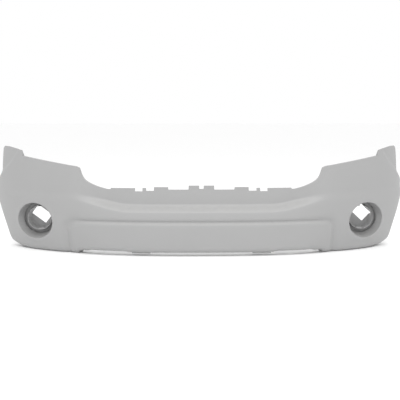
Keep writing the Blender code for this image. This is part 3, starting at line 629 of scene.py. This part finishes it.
def solid_box(name, low, high, place=None):
    """A box from its lowest to its highest corner, then moved by the matrix place."""
    deselect_all()
    low = Vector(low)
    high = Vector(high)
    bpy.ops.mesh.primitive_cube_add(size=1.0, location=(low + high) / 2.0)
    piece = bpy.context.object
    piece.name = name
    piece.scale = high - low
    settle(piece)
    if place is not None:
        piece.data.transform(place)
    return piece


def solid_drum(name, centre, direction, radius, length, sides=48):
    deselect_all()
    along = Vector(direction).normalized()
    bpy.ops.mesh.primitive_cylinder_add(
        vertices=sides, radius=radius, depth=length, location=Vector(centre) + along * length / 2.0,
        rotation=along.to_track_quat("Z", "Y").to_euler(),
    )
    piece = bpy.context.object
    piece.name = name
    settle(piece)
    return piece


def join(piece, others):
    make_active(piece)
    for other in others:
        other.select_set(True)
    bpy.ops.object.join()


def soften(piece, width, segments=2, degrees=35.0):
    modifier = piece.modifiers.new("Soft edges", "BEVEL")
    modifier.width = width
    modifier.segments = segments
    modifier.limit_method = "ANGLE"
    modifier.angle_limit = math.radians(degrees)
    modifier.use_clamp_overlap = True
    apply_modifiers(piece)


def spun(name, outline, sides):
    """A turned piece about Z, from an outline of (radius, height) given from its top down its outside."""
    deselect_all()
    mesh = bpy.data.meshes.new(name)
    piece = bpy.data.objects.new(name, mesh)
    bpy.context.scene.collection.objects.link(piece)
    closed = outline[0][0] > 0.0
    edges = [(index, index + 1) for index in range(len(outline) - 1)]
    if closed:
        edges.append((len(outline) - 1, 0))
    mesh.from_pydata([(radius, 0.0, height) for radius, height in outline], edges, [])
    make_active(piece)
    bpy.ops.object.mode_set(mode="EDIT")
    bpy.ops.mesh.select_all(action="SELECT")
    bpy.ops.mesh.spin(steps=sides, angle=2.0 * math.pi, center=(0.0, 0.0, 0.0), axis=(0.0, 0.0, 1.0))
    bpy.ops.mesh.select_all(action="SELECT")
    bpy.ops.mesh.remove_doubles(threshold=0.00001)
    bpy.ops.mesh.normals_make_consistent(inside=False)
    bpy.ops.object.mode_set(mode="OBJECT")
    return piece


def stand_on(piece, place, direction):
    """Move a piece modelled about Z so that its origin is at place and its Z runs along direction."""
    turn = Vector(direction).to_track_quat("Z", "Y").to_matrix().to_4x4()
    piece.data.transform(Matrix.Translation(place) @ turn)


def finish_piece(piece, material, node):
    """Stand the piece on the cover's lowest edge and hand it over in place of the frame's node."""
    piece.data.transform(Matrix.Translation((0.0, 0.0, -WING_BOTTOM)))
    piece.data.materials.clear()
    piece.data.materials.append(material)
    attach(piece, "root")
    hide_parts(node)


# ---- Moulding -------------------------------------------------------------------------------------
def grid_surface(name, lines):
    """A grid primitive whose points are moved onto the given lines, and those points by line and row."""
    deselect_all()
    columns = len(lines)
    rows = len(lines[0])
    bpy.ops.mesh.primitive_grid_add(x_subdivisions=columns - 1, y_subdivisions=rows - 1, size=1.0)
    piece = bpy.context.object
    piece.name = name
    bm = bmesh.new()
    bm.from_mesh(piece.data)
    placed = {}
    for vertex in bm.verts:
        column = round((vertex.co.x + 0.5) * (columns - 1))
        row = round((0.5 - vertex.co.y) * (rows - 1))
        placed[column, row] = vertex
        vertex.co = lines[column][row]
    return piece, bm, placed


def tidy_grid(bm, outward):
    bmesh.ops.remove_doubles(bm, verts=bm.verts, dist=0.00001)
    bmesh.ops.dissolve_degenerate(bm, dist=0.00001, edges=bm.edges)
    bmesh.ops.recalc_face_normals(bm, faces=bm.faces)
    bm.normal_update()
    if sum(face.normal.dot(outward) * face.calc_area() for face in bm.faces) < 0.0:
        bmesh.ops.reverse_faces(bm, faces=bm.faces)


def ring_point(angle, grow, deeper):
    """Point on the flared mouth's outline, grown by grow in the surface and moved deeper."""
    x = RING_CENTRE[0] + (RING_RADII[0] + grow) * math.cos(angle)
    z = RING_CENTRE[1] + (RING_RADII[1] + grow) * math.sin(angle)
    return surface_at(x, z, deeper)


def throat_point(angle, radius, depth):
    x = THROAT_CENTRE[0] + radius * math.cos(angle)
    z = THROAT_CENTRE[1] + radius * math.sin(angle)
    return Vector((x, FRONT_Y + depth, z))


def recess_places(angle, start):
    """The line of points from the patch's edge, over the rolled mouth, into the throat."""
    grown = RING_ROLL + RIM_REACH
    line = []
    rim = ring_point(angle, grown, 0.0)
    for share in (0.25, 0.5, 0.75):
        x = mix(start.x, rim.x, share)
        z = mix(start.z, rim.z, share)
        line.append(surface_at(x, z))
    for extra in steps(grown, RING_ROLL, 3):
        line.append(ring_point(angle, extra, 0.0))
    for turn in steps(0.0, math.radians(75.0), 5)[1:]:
        line.append(ring_point(angle, RING_ROLL * (1.0 - math.sin(turn)), RING_ROLL * (1.0 - math.cos(turn))))
    mouth = line[-1]
    entry = [throat_point(angle, THROAT_RADIUS + extra, THROAT_FRONT + past) for extra, past in THROAT_ENTRY]
    for share in steps(0.0, 1.0, 8)[1:]:
        line.append(mouth.lerp(entry[0], share))
    line += entry[1:]
    line.append(throat_point(angle, THROAT_RADIUS, 0.5 * (THROAT_FRONT + THROAT_BACK)))
    line.append(throat_point(angle, THROAT_RADIUS, THROAT_BACK - THROAT_CHAMFER))
    line.append(throat_point(angle, THROAT_RADIUS + THROAT_CHAMFER, THROAT_BACK))
    line.append(throat_point(angle, FOG_FLANGE_RADIUS, THROAT_BACK))
    return line


def recess_window(lines):
    """First and last column and row of the block of cells that the fog recess takes the place of."""
    columns = column_positions()
    first = max(place for place, x in enumerate(columns) if x <= PATCH_X[0])
    last = min(place for place, x in enumerate(columns) if x >= PATCH_X[1])
    heights = [point.z for point in lines[first]]
    top = max(place for place, z in enumerate(heights) if z >= PATCH_Z[1])
    bottom = min(place for place, z in enumerate(heights) if z <= PATCH_Z[0] and place > top)
    return first, last, top, bottom


def open_recess(bm, placed, window):
    """Cut a window in the half grid and draw its edge in to form the flared recess."""
    first, last, top, bottom = window
    block = {placed[column, row] for column in range(first, last + 1) for row in range(top, bottom + 1)}
    inside = [face for face in bm.faces if all(vertex in block for vertex in face.verts)]
    loop = [placed[column, top] for column in range(first, last)]
    loop += [placed[last, row] for row in range(top, bottom)]
    loop += [placed[column, bottom] for column in range(last, first, -1)]
    loop += [placed[first, row] for row in range(bottom, top, -1)]
    bmesh.ops.delete(bm, geom=inside, context="FACES")
    lines = []
    for vertex in loop:
        across = (vertex.co.x - RING_CENTRE[0]) / RING_RADII[0]
        up = (vertex.co.z - RING_CENTRE[1]) / RING_RADII[1]
        angle = math.atan2(up, across)
        lines.append([vertex] + [bm.verts.new(point) for point in recess_places(angle, vertex.co)])
    for index, line in enumerate(lines):
        after = lines[(index + 1) % len(lines)]
        for row in range(len(line) - 1):
            bm.faces.new((line[row], line[row + 1], after[row + 1], after[row]))


def add_mirror(piece):
    modifier = piece.modifiers.new("Mirror", "MIRROR")
    modifier.use_axis = (True, False, False)
    modifier.merge_threshold = 0.0001


def add_wall(piece, thickness):
    modifier = piece.modifiers.new("Wall", "SOLIDIFY")
    modifier.thickness = thickness
    modifier.offset = -1.0
    modifier.use_even_offset = True
    modifier.use_quality_normals = True
    modifier.thickness_clamp = 1.0


def tab_place(side, x):
    """Placement of a flat tab at plan position x: X along the edge, Y into the cover."""
    normal = plan_normal(x)
    inward = Vector((side * normal.x, normal.y, 0.0))
    along = Vector((inward.y, -inward.x, 0.0))
    place = Matrix((along, inward, Vector((0.0, 0.0, 1.0)))).transposed().to_4x4()
    place.translation = mirrored(skin_point(x, 0.0, 0.0), side)
    return place


def add_flat_tabs(skin):
    """Tabs under the bottom edge, and shelves behind the headlamp edge."""
    wall = sizes().wall
    for side in (-1.0, 1.0):
        inner, outer = LOWER_TAB
        half = (outer - inner) / 2.0
        low = (-half, BOTTOM_ROLL, CENTRE_BOTTOM - LOWER_TAB_DROP)
        high = (half, BOTTOM_ROLL + LOWER_TAB_LENGTH, CENTRE_BOTTOM + 0.6 * wall)
        tab = solid_box("lower_tab", low, high, tab_place(side, inner + half))
        soften(tab, 0.0012)
        inner, outer = LEDGE_TAB
        half = (outer - inner) / 2.0
        height = plain_top(inner) - LEDGE_DROP
        front = wing_set_in(height) + 0.5 * wall
        ledge = solid_box(
            "ledge", (-half, front, height - wall), (half, front + LEDGE_TAB_LENGTH, height),
            tab_place(side, inner + half),
        )
        soften(ledge, 0.0008)
        join(skin, [tab, ledge])


def nut_place(node, set_in):
    """Middle of a push nut that lies set_in behind the plan curve, and the direction of its stud."""
    low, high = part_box(node)
    middle = (Vector(low) + Vector(high)) / 2.0 + Vector((0.0, 0.0, WING_BOTTOM))
    side = -1.0 if middle.x < 0.0 else 1.0
    plan = abs(middle.x)
    for _ in range(6):
        plan = abs(middle.x) - plan_normal(plan).x * set_in
    return middle, mirrored(plan_normal(plan), side)


def add_studs(skin):
    """Round studs on the back of the moulding, one through each push nut."""
    nuts = [(f"upper_push_nut_{number}", UPPER_NUT_SET_IN) for number in range(1, 7)]
    for name in ("left", "right"):
        nuts += [(f"{name}_fender_push_nut_{number}", FENDER_NUT_SET_IN) for number in (1, 2)]
    studs = []
    for node, set_in in nuts:
        middle, direction = nut_place(node, set_in)
        stud = solid_drum("stud", middle - direction * STUD_ROOT, direction, STUD_RADIUS, STUD_LENGTH, 32)
        soften(stud, 0.0006)
        studs.append(stud)
    join(skin, studs)


def build_skin():
    lines = half_skin_rows()
    skin, bm, placed = grid_surface("moulding", lines)
    open_recess(bm, placed, recess_window(lines))
    tidy_grid(bm, Vector((0.0, -1.0, 0.0)))
    bm.to_mesh(skin.data)
    bm.free()
    add_mirror(skin)
    add_wall(skin, sizes().wall)
    apply_modifiers(skin)
    add_flat_tabs(skin)
    add_studs(skin)
    smooth_by_angle(skin, 38.0)
    return skin


# ---- Fog-lamp cups --------------------------------------------------------------------------------
def cup_outline():
    """Radius and height above the throat's rear face, from the floor over the rim and down outside."""
    rim = THROAT_BACK - CUP_RIM_FRONT
    floor = THROAT_BACK - CUP_BACK
    half = CUP_WALL / 2.0
    outline = [(0.0, floor), (CUP_BACK_RADIUS * 0.5, floor)]
    for turn in steps(0.0, math.pi / 2.0, 5):
        radius = CUP_BACK_RADIUS - CUP_FILLET + CUP_FILLET * math.sin(turn)
        outline.append((radius, floor + CUP_FILLET - CUP_FILLET * math.cos(turn)))
    centre = CUP_RIM_RADIUS - half
    for turn in steps(math.pi, 0.0, 8):
        outline.append((centre + half * math.cos(turn), rim - half + half * math.sin(turn)))
    face = CUP_FLANGE_FACE
    back = face - CUP_FLANGE_WALL
    outline += [(CUP_RIM_RADIUS, face + CUP_RIM_CHAMFER), (CUP_RIM_RADIUS + CUP_RIM_CHAMFER, face)]
    outline += [(CUP_FLANGE_RADIUS - CUP_FLANGE_ROUND, face), (CUP_FLANGE_RADIUS, face - CUP_FLANGE_ROUND)]
    outline += [(CUP_FLANGE_RADIUS, back + CUP_FLANGE_ROUND), (CUP_FLANGE_RADIUS - CUP_FLANGE_ROUND, back)]
    outside = CUP_BACK_RADIUS + CUP_WALL
    bottom = floor - CUP_WALL
    outline += [(outside + CUP_CHAMFER, back), (outside, back - CUP_CHAMFER)]
    outline += [(outside, floor), (outside - CUP_CHAMFER, bottom + CUP_HEEL)]
    outline += [(CUP_BACK_RADIUS * 0.5, bottom), (0.0, bottom)]
    return outline


def cup_lug(side, angle, width, reach):
    """A small locating lug that stands inwards from the cup's rim."""
    outer = CUP_RIM_RADIUS - 0.6 * CUP_WALL
    low = (-width / 2.0, 0.0, outer - reach)
    high = (width / 2.0, LUG_DEPTH, outer)
    turn = Matrix.Rotation(math.radians(90.0) - angle, 4, "Y")
    centre = Vector((side * THROAT_CENTRE[0], FRONT_Y + CUP_RIM_FRONT + LUG_SET_BACK, THROAT_CENTRE[1]))
    lug = solid_box("lug", low, high, Matrix.Translation(centre) @ turn)
    soften(lug, 0.0012, 3)
    return lug


def cup_screw_places(side):
    places = []
    for number in range(3):
        angle = math.radians(90.0 + number * 120.0)
        offset = Vector((side * math.cos(angle), 0.0, math.sin(angle))) * CUP_SCREW_CIRCLE
        places.append(Vector((side * THROAT_CENTRE[0], FRONT_Y + THROAT_BACK, THROAT_CENTRE[1])) + offset)
    return places


def build_cup(side):
    name = side_name(side)
    cup = spun(f"{name}_cup", cup_outline(), detail().turn_steps)
    stand_on(cup, (side * THROAT_CENTRE[0], FRONT_Y + THROAT_BACK, THROAT_CENTRE[1]), (0.0, -1.0, 0.0))
    for angle, lean, width, reach in CUP_LUGS:
        boolean(cup, cup_lug(side, math.radians(angle - side * lean), width, reach), "UNION")
    length, width, tilt, out, up = WINDOWS[name]
    turn = Matrix.Rotation(tilt, 4, "Y")
    centre = Vector((side * (THROAT_CENTRE[0] + out), FRONT_Y + CUP_BACK, THROAT_CENTRE[1] + up))
    place = Matrix.Translation(centre) @ turn
    front, back = WINDOW_REACH
    low = (-length / 2.0, front, -width / 2.0)
    high = (length / 2.0, back, width / 2.0)
    window = solid_box("window", low, high, place)
    soften(window, 0.003, 3)
    boolean(cup, window, "DIFFERENCE")
    for screw in cup_screw_places(side):
        start = screw - Vector((0.0, CUP_HOLE_START, 0.0))
        hole = solid_drum("hole", start, (0.0, 1.0, 0.0), CUP_HOLE_RADIUS, CUP_HOLE_LENGTH, 24)
        boolean(cup, hole, "DIFFERENCE")
    smooth_by_angle(cup, 35.0)
    return cup


# ---- Materials ------------------------------------------------------------------------------------
def new_group(name, inputs, outputs):
    """A shader node group with its own input and output nodes."""
    group = bpy.data.node_groups.new(name, "ShaderNodeTree")
    for label, kind, value in inputs:
        socket = group.interface.new_socket(name=label, in_out="INPUT", socket_type=kind)
        socket.default_value = value
    for label, kind in outputs:
        group.interface.new_socket(name=label, in_out="OUTPUT", socket_type=kind)
    nodes = group.nodes
    return group, nodes.new("NodeGroupInput"), nodes.new("NodeGroupOutput")


def add_node(tree, kind, **settings):
    node = tree.nodes.new(kind)
    for label, value in settings.items():
        setattr(node, label, value)
    return node


def moulded_surface_group():
    """Fine grain, soft mottling and a spray texture, as one colour factor, roughness and height."""
    inputs = [
        ("Colour", "NodeSocketColor", (0.5, 0.5, 0.5, 1.0)),
        ("Roughness", "NodeSocketFloat", 0.5),
        ("Grain", "NodeSocketFloat", 0.3),
        ("Grain Scale", "NodeSocketFloat", 900.0),
        ("Mottle", "NodeSocketFloat", 0.05),
    ]
    outputs = [("Colour", "NodeSocketColor"), ("Roughness", "NodeSocketFloat"), ("Height", "NodeSocketFloat")]
    group, inward, outward = new_group("moulded_surface", inputs, outputs)
    place = add_node(group, "ShaderNodeTexCoord")
    link = group.links.new
    fine = add_node(group, "ShaderNodeTexNoise")
    fine.inputs["Detail"].default_value = 3.0
    link(place.outputs["Object"], fine.inputs["Vector"])
    link(inward.outputs["Grain Scale"], fine.inputs["Scale"])
    broad = add_node(group, "ShaderNodeTexNoise")
    broad.inputs["Scale"].default_value = 6.0
    broad.inputs["Detail"].default_value = 4.0
    link(place.outputs["Object"], broad.inputs["Vector"])
    centred = add_node(group, "ShaderNodeMath", operation="SUBTRACT")
    centred.inputs[1].default_value = 0.5
    link(broad.outputs["Fac"], centred.inputs[0])
    sized = add_node(group, "ShaderNodeMath", operation="MULTIPLY_ADD")
    sized.inputs[2].default_value = 1.0
    link(centred.outputs[0], sized.inputs[0])
    link(inward.outputs["Mottle"], sized.inputs[1])
    shade = add_node(group, "ShaderNodeVectorMath", operation="SCALE")
    link(inward.outputs["Colour"], shade.inputs[0])
    link(sized.outputs[0], shade.inputs["Scale"])
    link(shade.outputs[0], outward.inputs["Colour"])
    rough = add_node(group, "ShaderNodeMath", operation="MULTIPLY_ADD")
    rough.inputs[1].default_value = 0.18
    link(centred.outputs[0], rough.inputs[0])
    link(inward.outputs["Roughness"], rough.inputs[2])
    link(rough.outputs[0], outward.inputs["Roughness"])
    height = add_node(group, "ShaderNodeMath", operation="MULTIPLY")
    link(fine.outputs["Fac"], height.inputs[0])
    link(inward.outputs["Grain"], height.inputs[1])
    link(height.outputs[0], outward.inputs["Height"])
    return group


def settled_dust_group():
    """Pale dust on faces that look up, broken up by noise."""
    inputs = [
        ("Colour", "NodeSocketColor", (0.5, 0.5, 0.5, 1.0)),
        ("Dust Colour", "NodeSocketColor", (0.62, 0.61, 0.58, 1.0)),
        ("Amount", "NodeSocketFloat", 0.2),
    ]
    group, inward, outward = new_group("settled_dust", inputs, [("Colour", "NodeSocketColor")])
    link = group.links.new
    facing = add_node(group, "ShaderNodeNewGeometry")
    split = add_node(group, "ShaderNodeSeparateXYZ")
    link(facing.outputs["Normal"], split.inputs[0])
    up = add_node(group, "ShaderNodeMapRange")
    up.inputs["From Min"].default_value = 0.35
    up.inputs["From Max"].default_value = 1.0
    link(split.outputs["Z"], up.inputs["Value"])
    place = add_node(group, "ShaderNodeTexCoord")
    patch = add_node(group, "ShaderNodeTexNoise")
    patch.inputs["Scale"].default_value = 45.0
    patch.inputs["Detail"].default_value = 5.0
    link(place.outputs["Object"], patch.inputs["Vector"])
    share = add_node(group, "ShaderNodeMath", operation="MULTIPLY")
    link(up.outputs["Result"], share.inputs[0])
    link(patch.outputs["Fac"], share.inputs[1])
    amount = add_node(group, "ShaderNodeMath", operation="MULTIPLY")
    link(share.outputs[0], amount.inputs[0])
    link(inward.outputs["Amount"], amount.inputs[1])
    blend = add_node(group, "ShaderNodeMix", data_type="RGBA")
    link(amount.outputs[0], blend.inputs["Factor"])
    link(inward.outputs["Colour"], blend.inputs[6])
    link(inward.outputs["Dust Colour"], blend.inputs[7])
    link(blend.outputs[2], outward.inputs["Colour"])
    return group


def surface_material(name, colour, roughness, grain, grain_scale, mottle, dust, bump=0.15, metallic=0.0):
    """One finish: moulded surface, then dust, into a Principled shader."""
    material = bpy.data.materials.new(name)
    material.use_nodes = True
    tree = material.node_tree
    link = tree.links.new
    shader = tree.nodes["Principled BSDF"]
    surface = add_node(tree, "ShaderNodeGroup", node_tree=bpy.data.node_groups["moulded_surface"])
    surface.inputs["Colour"].default_value = (*colour, 1.0)
    surface.inputs["Roughness"].default_value = roughness
    surface.inputs["Grain"].default_value = grain
    surface.inputs["Grain Scale"].default_value = grain_scale
    surface.inputs["Mottle"].default_value = mottle
    settled = add_node(tree, "ShaderNodeGroup", node_tree=bpy.data.node_groups["settled_dust"])
    settled.inputs["Amount"].default_value = dust
    relief = add_node(tree, "ShaderNodeBump")
    relief.inputs["Strength"].default_value = bump
    relief.inputs["Distance"].default_value = 0.0004
    link(surface.outputs["Colour"], settled.inputs["Colour"])
    link(settled.outputs["Colour"], shader.inputs["Base Color"])
    link(surface.outputs["Roughness"], shader.inputs["Roughness"])
    link(surface.outputs["Height"], relief.inputs["Height"])
    link(relief.outputs["Normal"], shader.inputs["Normal"])
    shader.inputs["Metallic"].default_value = metallic
    return material


def build_finishes():
    own = finish()
    moulded_surface_group()
    settled_dust_group()
    surface_material("grey_primer", own.primer, 0.46, own.grain, 900.0, 0.05, own.dust)
    surface_material("cup_plastic", own.cup, 0.55, own.grain, 700.0, 0.08, own.dust)
    surface_material("strip_plastic", own.strip, 0.55, 0.6, 500.0, 0.15, own.dust, bump=0.4)
    surface_material("zinc_plate", own.zinc, 0.34, 0.25, 1500.0, 0.25, 0.1, metallic=1.0)
    surface_material("spring_steel", own.spring, 0.42, 0.3, 1200.0, 0.3, 0.1, metallic=0.9)


# Finish of each material slot whose pieces keep the frame's own mesh.
FITTING_FINISHES = {
    "strip_plastic": "strip_plastic",
    "zinc_steel": "zinc_plate",
    "spring_steel": "spring_steel",
}


# ---- Stage ----------------------------------------------------------------------------------------
def pale_material(name, colour):
    material = bpy.data.materials.new(name)
    material.use_nodes = True
    shader = material.node_tree.nodes["Principled BSDF"]
    shader.inputs["Base Color"].default_value = (*colour, 1.0)
    shader.inputs["Roughness"].default_value = 0.9
    return material


def area_light(name, place, aim, size, power):
    data = bpy.data.lights.new(name, "AREA")
    data.shape = "RECTANGLE"
    data.size, data.size_y = size
    data.energy = power
    lamp = bpy.data.objects.new(name, data)
    bpy.context.scene.collection.objects.link(lamp)
    lamp.location = place
    lamp.rotation_euler = (Vector(aim) - Vector(place)).to_track_quat("-Z", "Y").to_euler()
    return lamp


def build_stage():
    deselect_all()
    bpy.ops.mesh.primitive_plane_add(size=FLOOR_SIZE, location=(0.0, 0.0, 0.0))
    floor = bpy.context.object
    floor.name = "studio_floor"
    floor.data.materials.append(pale_material("studio_floor", FLOOR_COLOUR))
    world = bpy.data.worlds.new("studio")
    world.use_nodes = True
    background = world.node_tree.nodes["Background"]
    background.inputs["Color"].default_value = (1.0, 1.0, 1.0, 1.0)
    background.inputs["Strength"].default_value = 1.0
    bpy.context.scene.world = world
    area_light("softbox_top", SOFTBOX_PLACE, SOFTBOX_AIM, SOFTBOX_SIZE, SOFTBOX_POWER)
    data = bpy.data.cameras.new("camera")
    camera = bpy.data.objects.new("camera", data)
    bpy.context.scene.collection.objects.link(camera)
    camera.location = CAMERA_PLACE
    camera.rotation_euler = (math.radians(90.0) - CAMERA_PITCH, 0.0, -CAMERA_YAW)
    data.lens = CAMERA_LENS
    data.clip_end = 100.0
    bpy.context.scene.camera = camera
    bpy.context.scene.view_settings.view_transform = "Standard"


# ---- Operators ------------------------------------------------------------------------------------
class COVER_OT_finishes(bpy.types.Operator):
    """Make the materials of the cover"""

    bl_idname = "cover.finishes"
    bl_label = "Finishes"

    def execute(self, context):
        build_finishes()
        return {"FINISHED"}


class COVER_OT_moulding(bpy.types.Operator):
    """Build the moulding with its recesses, panel, grooves and flanges"""

    bl_idname = "cover.moulding"
    bl_label = "Moulding"

    def execute(self, context):
        finish_piece(build_skin(), bpy.data.materials["grey_primer"], "bumper_skin")
        return {"FINISHED"}


class COVER_OT_fog_cups(bpy.types.Operator):
    """Build the two cups behind the fog recesses"""

    bl_idname = "cover.fog_cups"
    bl_label = "Fog cups"

    def execute(self, context):
        for side in (-1.0, 1.0):
            node = f"{side_name(side)}_fog_cup"
            finish_piece(build_cup(side), bpy.data.materials["cup_plastic"], node)
        return {"FINISHED"}


class COVER_OT_fittings(bpy.types.Operator):
    """Give the strips and fasteners of the frame their materials"""

    bl_idname = "cover.fittings"
    bl_label = "Fittings"

    def execute(self, context):
        for part in frame["record"]["subparts"]:
            if part["material_slot"] in FITTING_FINISHES:
                node = bpy.data.objects[part["node"]]
                node.data.materials.clear()
                node.data.materials.append(bpy.data.materials[FITTING_FINISHES[part["material_slot"]]])
        return {"FINISHED"}


class COVER_OT_stage(bpy.types.Operator):
    """Lay the floor and set the light and the camera"""

    bl_idname = "cover.stage"
    bl_label = "Stage"

    def execute(self, context):
        build_stage()
        return {"FINISHED"}


class COVER_PT_build(bpy.types.Panel):
    """Lists the build steps and the sizes and colours they use"""

    bl_label = "Bumper cover"
    bl_idname = "COVER_PT_build"
    bl_space_type = "VIEW_3D"
    bl_region_type = "UI"
    bl_category = "Cover"

    def draw(self, context):
        for group in (context.scene.cover_sizes, context.scene.cover_finish, context.scene.cover_detail):
            for label in group.bl_rna.properties.keys():
                if label not in {"rna_type", "name"}:
                    self.layout.prop(group, label)
        for step in STEPS:
            self.layout.operator(step.bl_idname)


STEPS = (COVER_OT_finishes, COVER_OT_moulding, COVER_OT_fog_cups, COVER_OT_fittings, COVER_OT_stage)
CLASSES = (CoverSizes, CoverFinish, CoverDetail) + STEPS + (COVER_PT_build,)


def register():
    for item in CLASSES:
        bpy.utils.register_class(item)
    bpy.types.Scene.cover_sizes = PointerProperty(type=CoverSizes)
    bpy.types.Scene.cover_finish = PointerProperty(type=CoverFinish)
    bpy.types.Scene.cover_detail = PointerProperty(type=CoverDetail)


def unregister():
    del bpy.types.Scene.cover_detail
    del bpy.types.Scene.cover_finish
    del bpy.types.Scene.cover_sizes
    for item in reversed(CLASSES):
        bpy.utils.unregister_class(item)


def main():
    register()
    bpy.ops.cover.finishes()
    bpy.ops.cover.moulding()
    bpy.ops.cover.fog_cups()
    bpy.ops.cover.fittings()
    bpy.ops.cover.stage()


if __name__ == "__main__":
    main()
